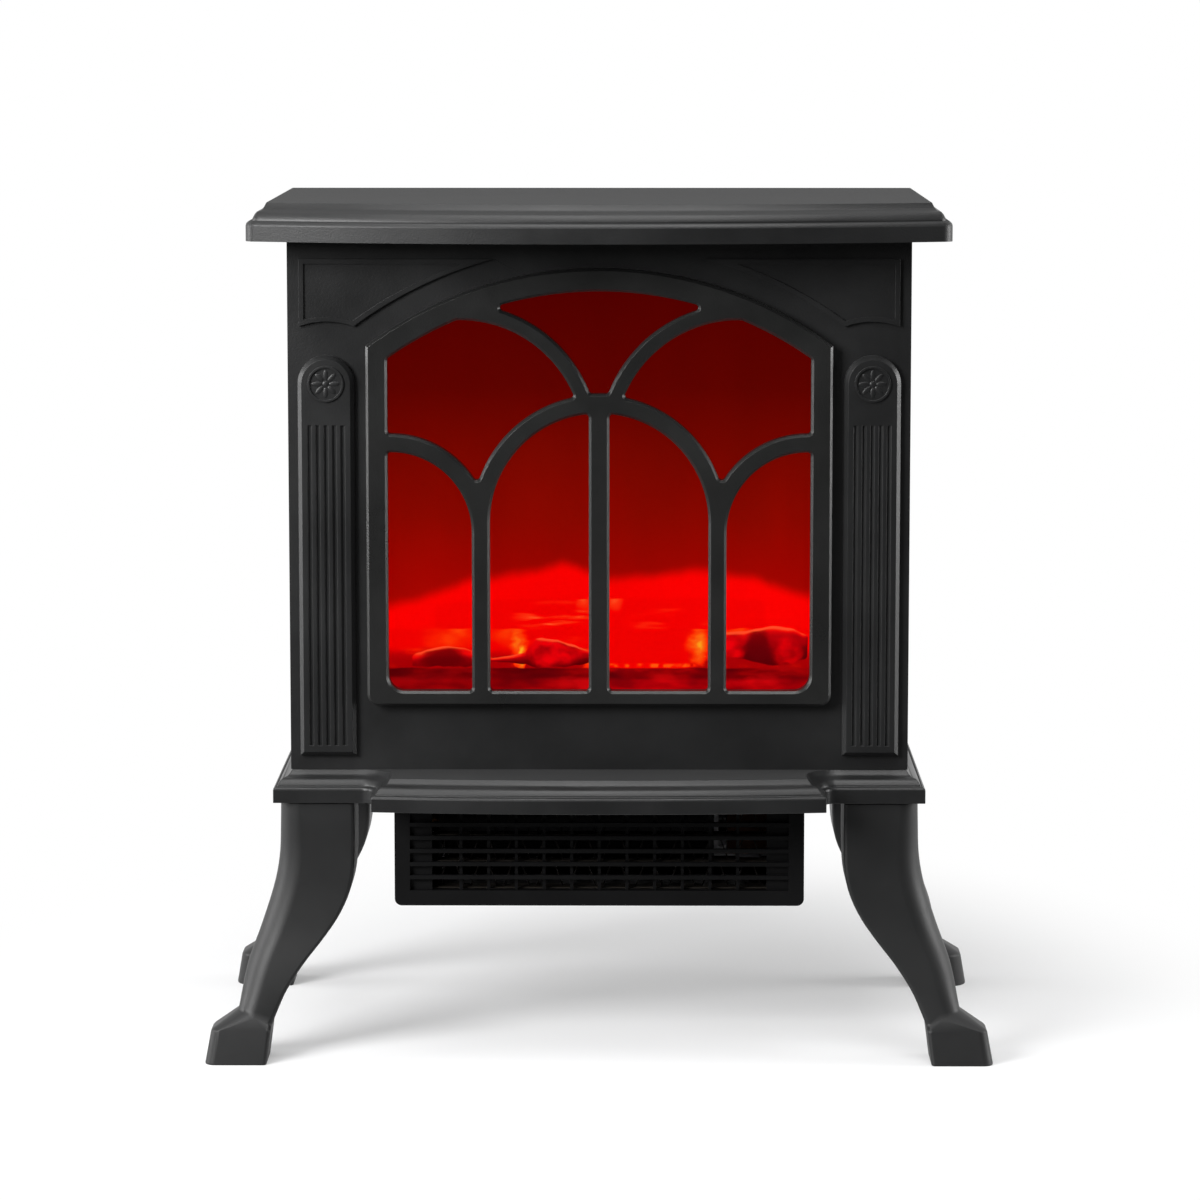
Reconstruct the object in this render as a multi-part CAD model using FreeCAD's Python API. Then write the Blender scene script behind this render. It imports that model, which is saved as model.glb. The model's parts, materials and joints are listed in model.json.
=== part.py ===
import FreeCAD, Part
import math
import os
from FreeCAD import Vector

# Electric stove-style fireplace heater, in millimetres.
# The front faces -Y, +X is to the right of someone looking at the front, +Z is up and the floor is Z = 0.
# The origin lies on the floor under the middle of the whole outline.

# ---- driving dimensions: case ----
LEG_H = 163.3
HEARTH_H = 19.7
CASE_H = 333.5
LID_H = 23.5
CASE_HALF_W = 194.3
CASE_DEPTH = 199.0
FRONT_Y = -87.0
MOULD_WALL = 3.0
SHEET = 1.2
FLANGE = 12.0
FIT_GAP = 0.3
OGEE_STEPS = 6
OGEE_SWELL = 0.8

# ---- lid ----
LID_SIDE_REACH = 23.7
LID_FRONT_REACH = 60.0
LID_BACK_REACH = 22.0
LID_BOW = 34.0
LID_FACE_H = 9.5
LID_EDGE_R = 3.0
LID_GROOVE = 1.2
LID_OGEE_W = 8.4
LID_CORNER_R = 9.0
LID_INNER_CORNER_R = 1.5
LID_ROOF = 5.0
LID_RIM = 10.0

# ---- hearth ----
HEARTH_SIDE_REACH = 10.7
HEARTH_WING_REACH = 12.0
HEARTH_BACK_REACH = 12.0
APRON_HALF_W = 141.5
APRON_REACH = 53.0
APRON_BOW = 8.0
APRON_STEP_R = 8.0
HEARTH_FACE_H = 8.2
HEARTH_EDGE_R = 2.0
HEARTH_GROOVE = 0.8
HEARTH_OGEE_W = 8.6
HEARTH_SKIN = 4.0
POCKET_SIDE_GAP = 16.3
POCKET_FRONT_REACH = 29.0
POCKET_WALL = 3.0
POCKET_BACK_INSET = 6.0

# ---- arched window frame and its tracery ----
FRAME_LIFT = 41.8
FRAME_PROUD = 10.0
FRAME_BEVEL = 1.6
FRAME_CORNER_R = 7.0
ARCH_R = 243.0
ARCH_HEAD_GAP = 17.5
FRAME_SIDE_BAR = 13.4
FRAME_ARCH_BAR = 14.3
FRAME_SILL = 9.4
CENTRE_BAR_W = 12.9
CENTRE_BAR_H = 196.2
SIDE_BAR_X = 73.9
SIDE_BAR_W = 11.3
INNER_SPRING_H = 115.7
OUTER_SPRING_H = 109.4
OUTER_ARCH_INSET = 2.0
UPPER_ARCH_X = 86.5
UPPER_SPRING_H = 165.4
UPPER_BAR_W = 9.8
PANE_CORNER_R = 2.2
PANE_FOOT_R = 10.0
OPENING_MARGIN = 2.0

# ---- glass and clips ----
GLASS_T = 2.5
GLASS_LAP = 6.0
CLIP_W = 14.0
CLIP_GRIP = 5.0
CLIP_FOOT = 7.0
CLIP_T = 1.5
CLIP_ROWS = 3
CLIP_END = 54.0

# ---- pilasters and spandrels on the front panel ----
PILASTER_W = 35.3
PILASTER_MARGIN = 6.35
PILASTER_GAP = 7.35
PILASTER_LIFT = 9.5
PILASTER_H = 234.4
PILASTER_PROUD = 6.0
PILASTER_BEVEL = 2.5
FLUTE_COUNT = 5
FLUTE_PITCH = 5.2
FLUTE_W = 3.0
FLUTE_DEPTH = 1.4
FLUTE_HEAD_GAP = 25.9
FLUTE_FOOT_GAP = 6.5
ROSETTE_R = 11.3
ROSETTE_RING = 1.3
ROSETTE_PROUD = 1.2
SPANDREL_MARGIN = 7.3
SPANDREL_HEAD_GAP = 12.1
SPANDREL_H = 41.8
SPANDREL_W = 126.0
SPANDREL_FOOT_W = 34.3
SPANDREL_RISE = 3.0
SPANDREL_ARCH_GAP = 14.0
SPANDREL_PROUD = 2.6
SPANDREL_BEAD = 3.0
SPANDREL_SINK = 1.4

# ---- cabriole legs: height, then inner and outer edge past the case corner in X and in Y ----
ANKLE_Z = 33.0
LEG_STATIONS = (
    (ANKLE_Z, 8.5, 32.7, 1.0, 25.0),
    (ANKLE_Z + 22.0, -5.8, 28.9, -8.0, 20.5),
    (ANKLE_Z + 49.0, -24.3, 19.5, -21.0, 14.5),
    (ANKLE_Z + 87.0, -39.3, 9.4, -34.0, 10.3),
    (LEG_H, -39.3, 7.7, -37.0, 10.0),
)
LEG_CORNER_R = 9.0
CORNER_FLATS = 2
FOOT_H = 22.0
FOOT_INNER_X = 14.7
FOOT_OUTER_X = 53.7
FOOT_INNER_Y = 1.0
FOOT_OUTER_Y = 35.0
FOOT_DRAFT = 4.0
FOOT_CORNER_R = 5.0
LEG_BOLT_IN = 17.0
LEG_BOLT_R = 3.0
LEG_BOLT_HEAD_R = 5.8
LEG_BOLT_HEAD_H = 4.0
LEG_BOLT_BITE = 18.0

# ---- screws ----
SCREW_R = 2.0
SCREW_HEAD_R = 4.0
SCREW_HEAD_H = 2.4
SCREW_BITE = 12.0
SCREW_GAP = 0.1
SCREW_SIDES = 8

# ---- heater box under the hearth ----
BOX_HALF_W = 129.7
BOX_SET_BACK = 6.0
BOX_DEPTH = 113.0
BOX_H = 84.6
BOX_WALL = 2.0
BOX_CORNER_R = 4.5
BOX_LIP = 14.0
BOX_SCREW_FRONT = 20.0
BOX_SCREW_REAR = 24.0
INLET_COUNT = 9
INLET_PITCH = 22.0
INLET_W = 6.0
INLET_LIFT = 13.6
INLET_H = 50.0

# ---- outlet grille ----
GRILLE_DEPTH = 6.0
GRILLE_HALF_W = 120.0
GRILLE_LIFT = 9.7
SLAT_PITCH = 8.45
SLAT_COUNT = 6
SLAT_T = 2.6
SLAT_DEPTH = 3.6
RIB_COUNT = 11
RIB_PITCH = 17.55
RIB_T = 2.0
END_BLOCK_W = 14.0

# ---- cross-flow fan ----
FAN_SET_BACK = 83.0
FAN_LIFT = 41.6
FAN_R = 24.0
FAN_BLADES = 16
FAN_BLADE_CAMBER = 1.6
FAN_BLADE_T = 1.0
FAN_BLADE_DEPTH = 7.0
FAN_LEFT_X = -100.0
FAN_RIGHT_X = 70.0
FAN_DISC_T = 1.6
FAN_STAGES = 2
SHAFT_R = 2.5
SHAFT_FIT = 0.06
FAN_END_GAP = 2.0
CRADLE_T = 1.5
CRADLE_REACH = 30.0
CRADLE_RISE = 32.0
SCROLL_GAP = 4.0
SCROLL_START = 20.0
SCROLL_END = 200.0
BUSH_R = 6.0
BUSH_LENGTH = 8.0

# ---- fan motor ----
MOTOR_HALF_H = 21.0
MOTOR_STACK = 16.0
MOTOR_ARM = 50.0
MOTOR_LIMB = 12.0
MOTOR_YOKE = 8.0
MOTOR_BRIDGE = 6.0
MOTOR_POST = 6.0
MOTOR_AIR_GAP = 0.4
MOTOR_BORE_R = 11.0
MOTOR_COIL_WALL = 6.0
MOTOR_STANDOFF = 14.0
MOTOR_END_T = 3.0

# ---- heating element ----
ELEMENT_SET_BACK = 8.0
ELEMENT_DEPTH = 13.0
ELEMENT_HALF_W = 112.0
MICA_T = 0.8
WIRE_ROWS = 3
WIRE_FOLDS = 20
WIRE_T = 0.8
WIRE_DEPTH = 4.0
WIRE_FLAT = 2.1
WIRE_END_GAP = 1.6
CUTOUT_R = 6.5
CUTOUT_T = 6.0
CUTOUT_TAB = 12.8
CUTOUT_TAB_HALF = 2.0

# ---- fire chamber ----
LINER_SIDE_GAP = 4.1
LINER_HEAD_GAP = 8.5
FIREBOX_DEPTH = 107.0
SCREEN_T = 3.0
BED_LIP_H = 59.8
BED_LIP_W = 27.0
BED_CREST_H = 79.8
BED_CREST_SET_BACK = 73.0
BED_BACK_H = 67.8
BED_WALL = 3.0
LOG_R = 13.0
LOG_FLAT = 2.5
LOG_SIDES = 12
LOG_BEVEL = 1.8
LOG_SPAN = 102.0
LOG_TIP_DROP = 5.0
BACK_LOG_LIFT = 6.5
FRONT_LOG_OUT = 37.0
LEFT_LOG_START = -117.0
LEFT_LOG_END = -8.0
LEFT_LOG_SINK = 19.0
RIGHT_LOG_START = 131.0
RIGHT_LOG_END = 70.0
RIGHT_LOG_SINK = 8.0
LAMP_COUNT = 7
LAMP_PITCH = 36.0
LAMP_HALF = 3.0
LAMP_H = 2.2
LAMP_BEVEL = 0.8
BOARD_T = 1.6
BOARD_SET_BACK = 57.0
BOARD_HALF_D = 14.0
BOARD_STAND = 5.0

# ---- flame spindle ----
SPINDLE_BEHIND_SCREEN = 38.0
SPINDLE_H = 77.8
SPINDLE_R = 2.5
SPINDLE_LEFT_X = -140.0
SPINDLE_RIGHT_X = 112.0
VANE_COUNT = 4
VANE_W = 17.0
VANE_T = 0.8
VANE_FILL = 0.86
HANGER_W = 40.0
HANGER_T = 3.0
HANGER_FOOT = 18.0
SPINDLE_MOTOR_R = 25.0
SPINDLE_MOTOR_T = 16.0
SPINDLE_MOTOR_NOSE = 5.0

# ---- rear controls ----
CONTROL_X = -96.0
CONTROL_DROP = 76.5
CONTROL_HALF_W = 78.0
CONTROL_HALF_H = 26.0
CONTROL_T = 4.0
CONTROL_EDGE = 8.0
SWITCH_W = 15.0
SWITCH_H = 21.0
SWITCH_PITCH = 24.0
SWITCH_OFFSET = -52.0
SWITCH_BEZEL = 2.0
SWITCH_SHOULDER = 1.0
SWITCH_DEPTH = 18.0
SWITCH_WALL = 1.3
SWITCH_WELL = 12.0
SWITCH_PIN_BITE = 0.9
ROCKER_HALF_H = 6.3
ROCKER_RISE = 5.4
ROCKER_DIP = 1.2
ROCKER_DROP = 4.5
ROCKER_PIVOT_IN = 4.0
ROCKER_TILT = 11.0
ROCKER_PIN_R = 1.2
ROCKER_PIN_FIT = 0.06
ROCKER_PIN_BITE = 0.65
KNOB_OFFSET = 42.0
KNOB_R = 15.0
KNOB_H = 13.0
KNOB_GRIPS = 9
KNOB_NOTCH_W = 4.0
KNOB_NOTCH_DEPTH = 1.6
KNOB_SHAFT_R = 3.0
KNOB_SHAFT_IN = 10.4
KNOB_SOCKET = 9.1
THERMOSTAT_HALF = 17.0
THERMOSTAT_DEPTH = 16.0
GLAND_X = 140.0
GLAND_LIFT = 21.0
GLAND_R = 8.0
GLAND_NECK_R = 5.5
GLAND_BORE_R = 3.4
GLAND_OUT = 7.0
GLAND_IN = 6.0

# ---- back panel vents and screws ----
LOUVRE_COLUMNS = (-60.0, 60.0)
LOUVRE_COUNT = 7
LOUVRE_PITCH = 11.0
LOUVRE_HALF_W = 45.0
LOUVRE_SLOT = 4.0
LOUVRE_PROUD = 3.0
LOUVRE_LIFT = 67.0
BACK_SCREW_INSET = 7.0
BACK_SCREW_ROWS = 3

# ---- places that follow from the sizes above ----
HEARTH_BOTTOM = LEG_H
HEARTH_TOP = HEARTH_BOTTOM + HEARTH_H
LID_BOTTOM = HEARTH_TOP + CASE_H
LID_TOP = LID_BOTTOM + LID_H
BACK_Y = FRONT_Y + CASE_DEPTH
CASE_MID_Y = (FRONT_Y + BACK_Y) / 2.0
PANEL_REAR = FRONT_Y + MOULD_WALL
FLOOR_TOP = HEARTH_TOP + SHEET
LID_HALF_W = CASE_HALF_W + LID_SIDE_REACH
LID_FRONT = FRONT_Y - LID_FRONT_REACH
LID_BACK = BACK_Y + LID_BACK_REACH
HEARTH_HALF_W = CASE_HALF_W + HEARTH_SIDE_REACH
HEARTH_WING_Y = FRONT_Y - HEARTH_WING_REACH
HEARTH_BACK = BACK_Y + HEARTH_BACK_REACH
APRON_Y = FRONT_Y - APRON_REACH
POCKET_ROOF = HEARTH_TOP - HEARTH_SKIN
FRAME_HALF_W = CASE_HALF_W - PILASTER_MARGIN - PILASTER_W - PILASTER_GAP
FRAME_BOTTOM = HEARTH_TOP + FRAME_LIFT
ARCH_CENTRE_Z = LID_BOTTOM - ARCH_HEAD_GAP - ARCH_R
LIGHT_HALF_W = FRAME_HALF_W - FRAME_SIDE_BAR
CENTRE_BAR_TOP = FRAME_BOTTOM + CENTRE_BAR_H
INNER_SPRING_Z = FRAME_BOTTOM + INNER_SPRING_H
OUTER_SPRING_Z = FRAME_BOTTOM + OUTER_SPRING_H
UPPER_SPRING_Z = FRAME_BOTTOM + UPPER_SPRING_H
PILASTER_X = CASE_HALF_W - PILASTER_MARGIN - PILASTER_W / 2.0
PILASTER_BOTTOM = HEARTH_TOP + PILASTER_LIFT
PILASTER_CENTRE_Z = PILASTER_BOTTOM + PILASTER_H
FLUTE_TOP = PILASTER_CENTRE_Z - FLUTE_HEAD_GAP
FLUTE_BOTTOM = PILASTER_BOTTOM + FLUTE_FOOT_GAP
GLASS_HALF_W = LIGHT_HALF_W + OPENING_MARGIN + GLASS_LAP
BOX_FRONT = FRONT_Y + BOX_SET_BACK
BOX_BACK = BOX_FRONT + BOX_DEPTH
BOX_BOTTOM = POCKET_ROOF - BOX_H
INLET_BOTTOM = BOX_BOTTOM + INLET_LIFT
INLET_TOP = INLET_BOTTOM + INLET_H
GRILLE_BOTTOM = BOX_BOTTOM + GRILLE_LIFT
FAN_Y = BOX_FRONT + FAN_SET_BACK
FAN_Z = BOX_BOTTOM + FAN_LIFT
CRADLE_FRONT = FAN_Y - CRADLE_REACH
CRADLE_TOP = FAN_Z + CRADLE_RISE
ELEMENT_FRONT = BOX_FRONT + ELEMENT_SET_BACK
LINER_HALF_W = GLASS_HALF_W + CLIP_FOOT + LINER_SIDE_GAP
LINER_TOP = LID_BOTTOM - LINER_HEAD_GAP
SCREEN_Y = FRONT_Y + FIREBOX_DEPTH
BED_LIP_Z = FLOOR_TOP + BED_LIP_H
BED_LIP_Y = FRONT_Y + BED_LIP_W
BED_CREST_Y = FRONT_Y + BED_CREST_SET_BACK
BED_CREST_Z = FLOOR_TOP + BED_CREST_H
BED_BACK_Z = FLOOR_TOP + BED_BACK_H
BOARD_Y = FRONT_Y + BOARD_SET_BACK
SPINDLE_Y = SCREEN_Y + SPINDLE_BEHIND_SCREEN
SPINDLE_Z = FLOOR_TOP + SPINDLE_H
CONTROL_Z = LID_BOTTOM - CONTROL_DROP
GLAND_Z = HEARTH_TOP + GLAND_LIFT
LOUVRE_BOTTOM = HEARTH_TOP + LOUVRE_LIFT


def block(x0, x1, y0, y1, z0, z1):
    """Box between two corners."""
    return Part.makeBox(x1 - x0, y1 - y0, z1 - z0, Vector(x0, y0, z0))


def rod(axis, radius, start, length):
    """Cylinder from start along axis."""
    return Part.makeCylinder(radius, length, start, axis)


ALONG_X = Vector(1, 0, 0)
ALONG_Y = Vector(0, 1, 0)
ALONG_Z = Vector(0, 0, 1)


def stud(axis, radius, start, length):
    """Small screw shank or its hole from start along axis, as a prism with a few sides."""
    side = ALONG_Z if axis.z < 0.5 else ALONG_X
    points = []
    for index in range(SCREW_SIDES):
        turn = 2.0 * math.pi * (index + 0.5) / SCREW_SIDES
        points.append(start + side * (radius * math.cos(turn)) + axis.cross(side) * (radius * math.sin(turn)))
    return polygon_prism(points, axis * length)


def ring(centre, axis, outer, inner, length):
    """Tube from centre along axis."""
    return rod(axis, outer, centre, length).cut(rod(axis, inner, centre, length))


def fused(shapes):
    """One clean shape from several that touch or overlap."""
    first = shapes[0]
    if len(shapes) > 1:
        first = first.fuse(shapes[1:])
    return first.removeSplitter()


def group(shapes):
    """Several separate solids kept in one node."""
    return Part.makeCompound(shapes)


def mirror_x(shape):
    """The same shape on the other side of the middle plane X = 0."""
    return shape.mirror(Vector(0, 0, 0), ALONG_X)


def mirror_depth(shape):
    """The same shape at the other end of the case, front to back."""
    return shape.mirror(Vector(0, CASE_MID_Y, 0), ALONG_Y)


def flipped(point):
    """The same point on the other side of the middle plane X = 0."""
    return Vector(-point.x, point.y, point.z)


def closed_face(edges):
    """Face inside a ring of edges given in any order."""
    return Part.Face(Part.Wire(Part.__sortEdges__(edges)))


def line(start, end):
    """Straight edge."""
    return Part.LineSegment(start, end).toShape()


def arc(start, middle, end):
    """Arc edge through three points."""
    return Part.Arc(start, middle, end).toShape()


def polygon_prism(points, along):
    """Prism over a closed polygon of vectors."""
    return Part.Face(Part.makePolygon(points + [points[0]])).extrude(along)


def edges_along(shape, axis):
    """Straight edges of a shape that run along an axis."""
    found = []
    for edge in shape.Edges:
        if isinstance(edge.Curve, Part.Line) and abs(edge.tangentAt(edge.FirstParameter).dot(axis)) > 0.999:
            found.append(edge)
    return found


def normal_at(face, point):
    """Normal of a face at the nearest place to a point."""
    u, v = face.Surface.parameter(point)
    return face.normalAt(u, v)


def corner_edges(shape):
    """Edges along Y where two faces meet at a real corner, not where they flow into each other."""
    found = []
    for edge in edges_along(shape, ALONG_Y):
        middle = edge.BoundBox.Center
        first, second = shape.ancestorsOfType(edge, Part.Face)
        if normal_at(first, middle).dot(normal_at(second, middle)) < 0.99:
            found.append(edge)
    return found


def edges_on_y(shape, y):
    """Edges of a shape that lie in one plane of constant Y."""
    found = []
    for edge in shape.Edges:
        bounds = edge.BoundBox
        if abs(bounds.YMin - y) < 1e-4 and abs(bounds.YMax - y) < 1e-4:
            found.append(edge)
    return found


def tier_profile(face_h, edge_r, groove, ogee_w, bottom, top):
    """Moulded edge from the bottom up: upright face, rounded arris, groove and ogee, as (inset, height) pairs."""
    profile = [(0.0, bottom), (0.0, bottom + face_h)]
    for step in (1, 2, 3):
        turn = math.radians(30.0 * step)
        profile.append((edge_r * (1.0 - math.cos(turn)), bottom + face_h + edge_r * math.sin(turn)))
    ogee_base = bottom + face_h + edge_r + groove
    ogee_start = edge_r + groove
    profile.append((ogee_start, bottom + face_h + edge_r))
    for step in range(OGEE_STEPS + 1):
        part = step / OGEE_STEPS
        lift = part + OGEE_SWELL * math.sin(2.0 * math.pi * part) / (2.0 * math.pi)
        profile.append((ogee_start + ogee_w * part, ogee_base + (top - ogee_base) * lift))
    return profile


# ---- lid ----
def lid_outline(inset, z):
    """Lid outline moved in by inset: bowed front, straight sides and back, rounded front corners."""
    bow_r = (LID_HALF_W ** 2 + LID_BOW ** 2) / (2.0 * LID_BOW) - inset
    centre_y = LID_FRONT + inset + bow_r
    half = LID_HALF_W - inset
    corner_r = max(LID_CORNER_R - inset, LID_INNER_CORNER_R)
    turn_x = half - corner_r
    turn_y = centre_y - math.sqrt((bow_r - corner_r) ** 2 - turn_x ** 2)
    lean = math.atan2(turn_x, centre_y - turn_y)
    bow_end = Vector(turn_x + corner_r * math.sin(lean), turn_y - corner_r * math.cos(lean), z)
    middle_turn = (lean + math.pi / 2.0) / 2.0
    middle = Vector(turn_x + corner_r * math.sin(middle_turn),
                    turn_y - corner_r * math.cos(middle_turn), z)
    side = Vector(half, turn_y, z)
    back = Vector(half, LID_BACK - inset, z)
    return Part.Wire([
        arc(flipped(bow_end), Vector(0, LID_FRONT + inset, z), bow_end),
        arc(bow_end, middle, side),
        line(side, back),
        line(back, flipped(back)),
        line(flipped(back), flipped(side)),
        arc(flipped(side), flipped(middle), flipped(bow_end)),
    ])


def lid():
    """Two-tier moulded top, hollow below, that rests on the upper edges of the case."""
    profile = tier_profile(LID_FACE_H, LID_EDGE_R, LID_GROOVE, LID_OGEE_W, LID_BOTTOM, LID_TOP)
    body = Part.makeLoft([lid_outline(inset, z) for inset, z in profile], True, True)
    hollow = block(-CASE_HALF_W + LID_RIM, CASE_HALF_W - LID_RIM, FRONT_Y + LID_RIM, BACK_Y - LID_RIM,
                   LID_BOTTOM - 1.0, LID_TOP - LID_ROOF)
    return body.cut(hollow)


# ---- hearth ----
def hearth_outline(inset, z):
    """Hearth outline moved in by inset: wings, concave steps and a bowed apron."""
    bow_r = (APRON_HALF_W ** 2 + APRON_BOW ** 2) / (2.0 * APRON_BOW)
    wing_x = HEARTH_HALF_W - inset
    wing_y = HEARTH_WING_Y + inset
    apron_x = APRON_HALF_W - inset
    apron_y = APRON_Y + bow_r - math.sqrt((bow_r - inset) ** 2 - apron_x ** 2)
    step_x = APRON_HALF_W + APRON_STEP_R
    step_y = HEARTH_WING_Y - APRON_STEP_R
    step_r = APRON_STEP_R + inset
    diagonal = step_r * math.sqrt(0.5)
    back_y = HEARTH_BACK - inset
    apron_end = Vector(apron_x, apron_y, z)
    step_start = Vector(apron_x, step_y, z)
    step_middle = Vector(step_x - diagonal, step_y + diagonal, z)
    step_end = Vector(step_x, wing_y, z)
    wing_corner = Vector(wing_x, wing_y, z)
    back_corner = Vector(wing_x, back_y, z)
    return Part.Wire([
        arc(flipped(apron_end), Vector(0, APRON_Y + inset, z), apron_end),
        line(apron_end, step_start),
        arc(step_start, step_middle, step_end),
        line(step_end, wing_corner),
        line(wing_corner, back_corner),
        line(back_corner, flipped(back_corner)),
        line(flipped(back_corner), flipped(wing_corner)),
        line(flipped(wing_corner), flipped(step_end)),
        arc(flipped(step_end), flipped(step_middle), flipped(step_start)),
        line(flipped(step_start), flipped(apron_end)),
    ])


def leg_bolt_places():
    """Bolt axis over each leg top, inside the case."""
    x = CASE_HALF_W - LEG_BOLT_IN
    y = FRONT_Y + LEG_BOLT_IN
    return [(-x, y), (x, y), (-x, 2.0 * CASE_MID_Y - y), (x, 2.0 * CASE_MID_Y - y)]


def box_screw_places():
    """Screw axes that hang the heater box from the hearth."""
    x = BOX_HALF_W - BOX_WALL - BOX_LIP / 2.0
    places = []
    for side in (-1, 1):
        for y in (BOX_FRONT + BOX_SCREW_FRONT, BOX_BACK - BOX_SCREW_REAR):
            places.append((side * x, y))
    return places


def upright_holes(places, radius, z0, z1):
    """Screw hole cutters along Z at the given places."""
    return [stud(ALONG_Z, radius, Vector(x, y, z0), z1 - z0) for x, y in places]


def fixing_holes(z0, z1):
    """Clearance holes for the leg bolts and the heater box screws."""
    return (upright_holes(leg_bolt_places(), LEG_BOLT_R + SCREW_GAP, z0, z1)
            + upright_holes(box_screw_places(), SCREW_R + SCREW_GAP, z0, z1))


def hearth():
    """Moulded two-tier hearth with a pocket below for the heater box and solid corners for the legs."""
    profile = tier_profile(HEARTH_FACE_H, HEARTH_EDGE_R, HEARTH_GROOVE, HEARTH_OGEE_W, HEARTH_BOTTOM, HEARTH_TOP)
    body = Part.makeLoft([hearth_outline(inset, z) for inset, z in profile], True, True)
    pocket_half = BOX_HALF_W + POCKET_SIDE_GAP
    pocket_front = BOX_FRONT - POCKET_WALL
    pocket = block(-pocket_half, pocket_half, pocket_front, BACK_Y - POCKET_BACK_INSET,
                   HEARTH_BOTTOM - 1.0, POCKET_ROOF)
    apron_half = APRON_HALF_W - HEARTH_WING_REACH - POCKET_WALL
    apron_pocket = block(-apron_half, apron_half, FRONT_Y - POCKET_FRONT_REACH, pocket_front + 1.0,
                         HEARTH_BOTTOM - 1.0, POCKET_ROOF)
    holes = fixing_holes(HEARTH_BOTTOM - 1.0, HEARTH_TOP + 1.0)
    return body.cut([pocket, apron_pocket] + holes)


def floor_plate():
    """Steel plate on the hearth that closes the case from below."""
    x = CASE_HALF_W - SHEET - FIT_GAP
    plate = block(-x, x, PANEL_REAR + SHEET + FIT_GAP, BACK_Y - 2.0 * SHEET - FIT_GAP, HEARTH_TOP, FLOOR_TOP)
    return plate.cut(fixing_holes(HEARTH_TOP - 1.0, FLOOR_TOP + 1.0))


# ---- legs ----
def corner_section(z, inner_x, outer_x, inner_y, outer_y, radius):
    """Section of the front right leg, given past the case corner, with each corner rounded in a few flats."""
    x0 = CASE_HALF_W + inner_x
    x1 = CASE_HALF_W + outer_x
    y0 = FRONT_Y - outer_y
    y1 = FRONT_Y - inner_y
    corners = (
        (x1 - radius, y1 - radius),
        (x0 + radius, y1 - radius),
        (x0 + radius, y0 + radius),
        (x1 - radius, y0 + radius),
    )
    points = []
    for quarter, (x, y) in enumerate(corners):
        for step in range(CORNER_FLATS + 1):
            turn = math.pi / 2.0 * (quarter + step / CORNER_FLATS)
            points.append(Vector(x + radius * math.cos(turn), y + radius * math.sin(turn), z))
    return Part.makePolygon(points + [points[0]])


def leg():
    """Front right cabriole leg: a curved shank that thins to the ankle above a hoof-like foot."""
    shank = Part.makeLoft([corner_section(*station, LEG_CORNER_R) for station in LEG_STATIONS], True, False)
    ankle = LEG_STATIONS[0]
    sole = (0.0, FOOT_INNER_X, FOOT_OUTER_X, FOOT_INNER_Y, FOOT_OUTER_Y)
    toe_top = (FOOT_H, FOOT_INNER_X - FOOT_DRAFT, FOOT_OUTER_X - FOOT_DRAFT,
               FOOT_INNER_Y - FOOT_DRAFT, FOOT_OUTER_Y - FOOT_DRAFT)
    foot = Part.makeLoft([
        corner_section(*sole, FOOT_CORNER_R),
        corner_section(*toe_top, FOOT_CORNER_R),
        corner_section(*ankle, LEG_CORNER_R),
    ], True, True)
    holes = upright_holes(leg_bolt_places(), LEG_BOLT_R, HEARTH_BOTTOM - LEG_BOLT_BITE, HEARTH_BOTTOM + 1.0)
    return shank.fuse(foot).cut(holes)


def hexagon(x, y, z, radius, height):
    """Hexagonal bolt head."""
    points = [Vector(x + radius * math.cos(math.pi * turn / 3.0), y + radius * math.sin(math.pi * turn / 3.0), z)
              for turn in range(6)]
    return polygon_prism(points, Vector(0, 0, height))


def leg_screws():
    """Hexagon-headed screws from inside the case through the floor plate and hearth into the legs."""
    screws = []
    for x, y in leg_bolt_places():
        bottom = HEARTH_BOTTOM - LEG_BOLT_BITE
        shank = stud(ALONG_Z, LEG_BOLT_R, Vector(x, y, bottom), FLOOR_TOP - bottom)
        screws.append(hexagon(x, y, FLOOR_TOP, LEG_BOLT_HEAD_R, LEG_BOLT_HEAD_H).fuse(shank))
    return group(screws)


# ---- front panel ----
def arch_prism(half_w, bottom, radius, y0, y1, corner_r):
    """Upright slab with straight sides, an arched head and rounded lower corners."""
    spring = ARCH_CENTRE_Z + math.sqrt(radius ** 2 - half_w ** 2)
    face = closed_face([
        line(Vector(-half_w, y0, spring), Vector(-half_w, y0, bottom)),
        line(Vector(-half_w, y0, bottom), Vector(half_w, y0, bottom)),
        line(Vector(half_w, y0, bottom), Vector(half_w, y0, spring)),
        arc(Vector(half_w, y0, spring), Vector(0, y0, ARCH_CENTRE_Z + radius), Vector(-half_w, y0, spring)),
    ])
    slab = face.extrude(Vector(0, y1 - y0, 0))
    if corner_r <= 0.0:
        return slab
    corners = [edge for edge in edges_along(slab, ALONG_Y) if edge.BoundBox.ZMax < bottom + 1.0]
    return slab.makeFillet(corner_r, corners)


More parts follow.
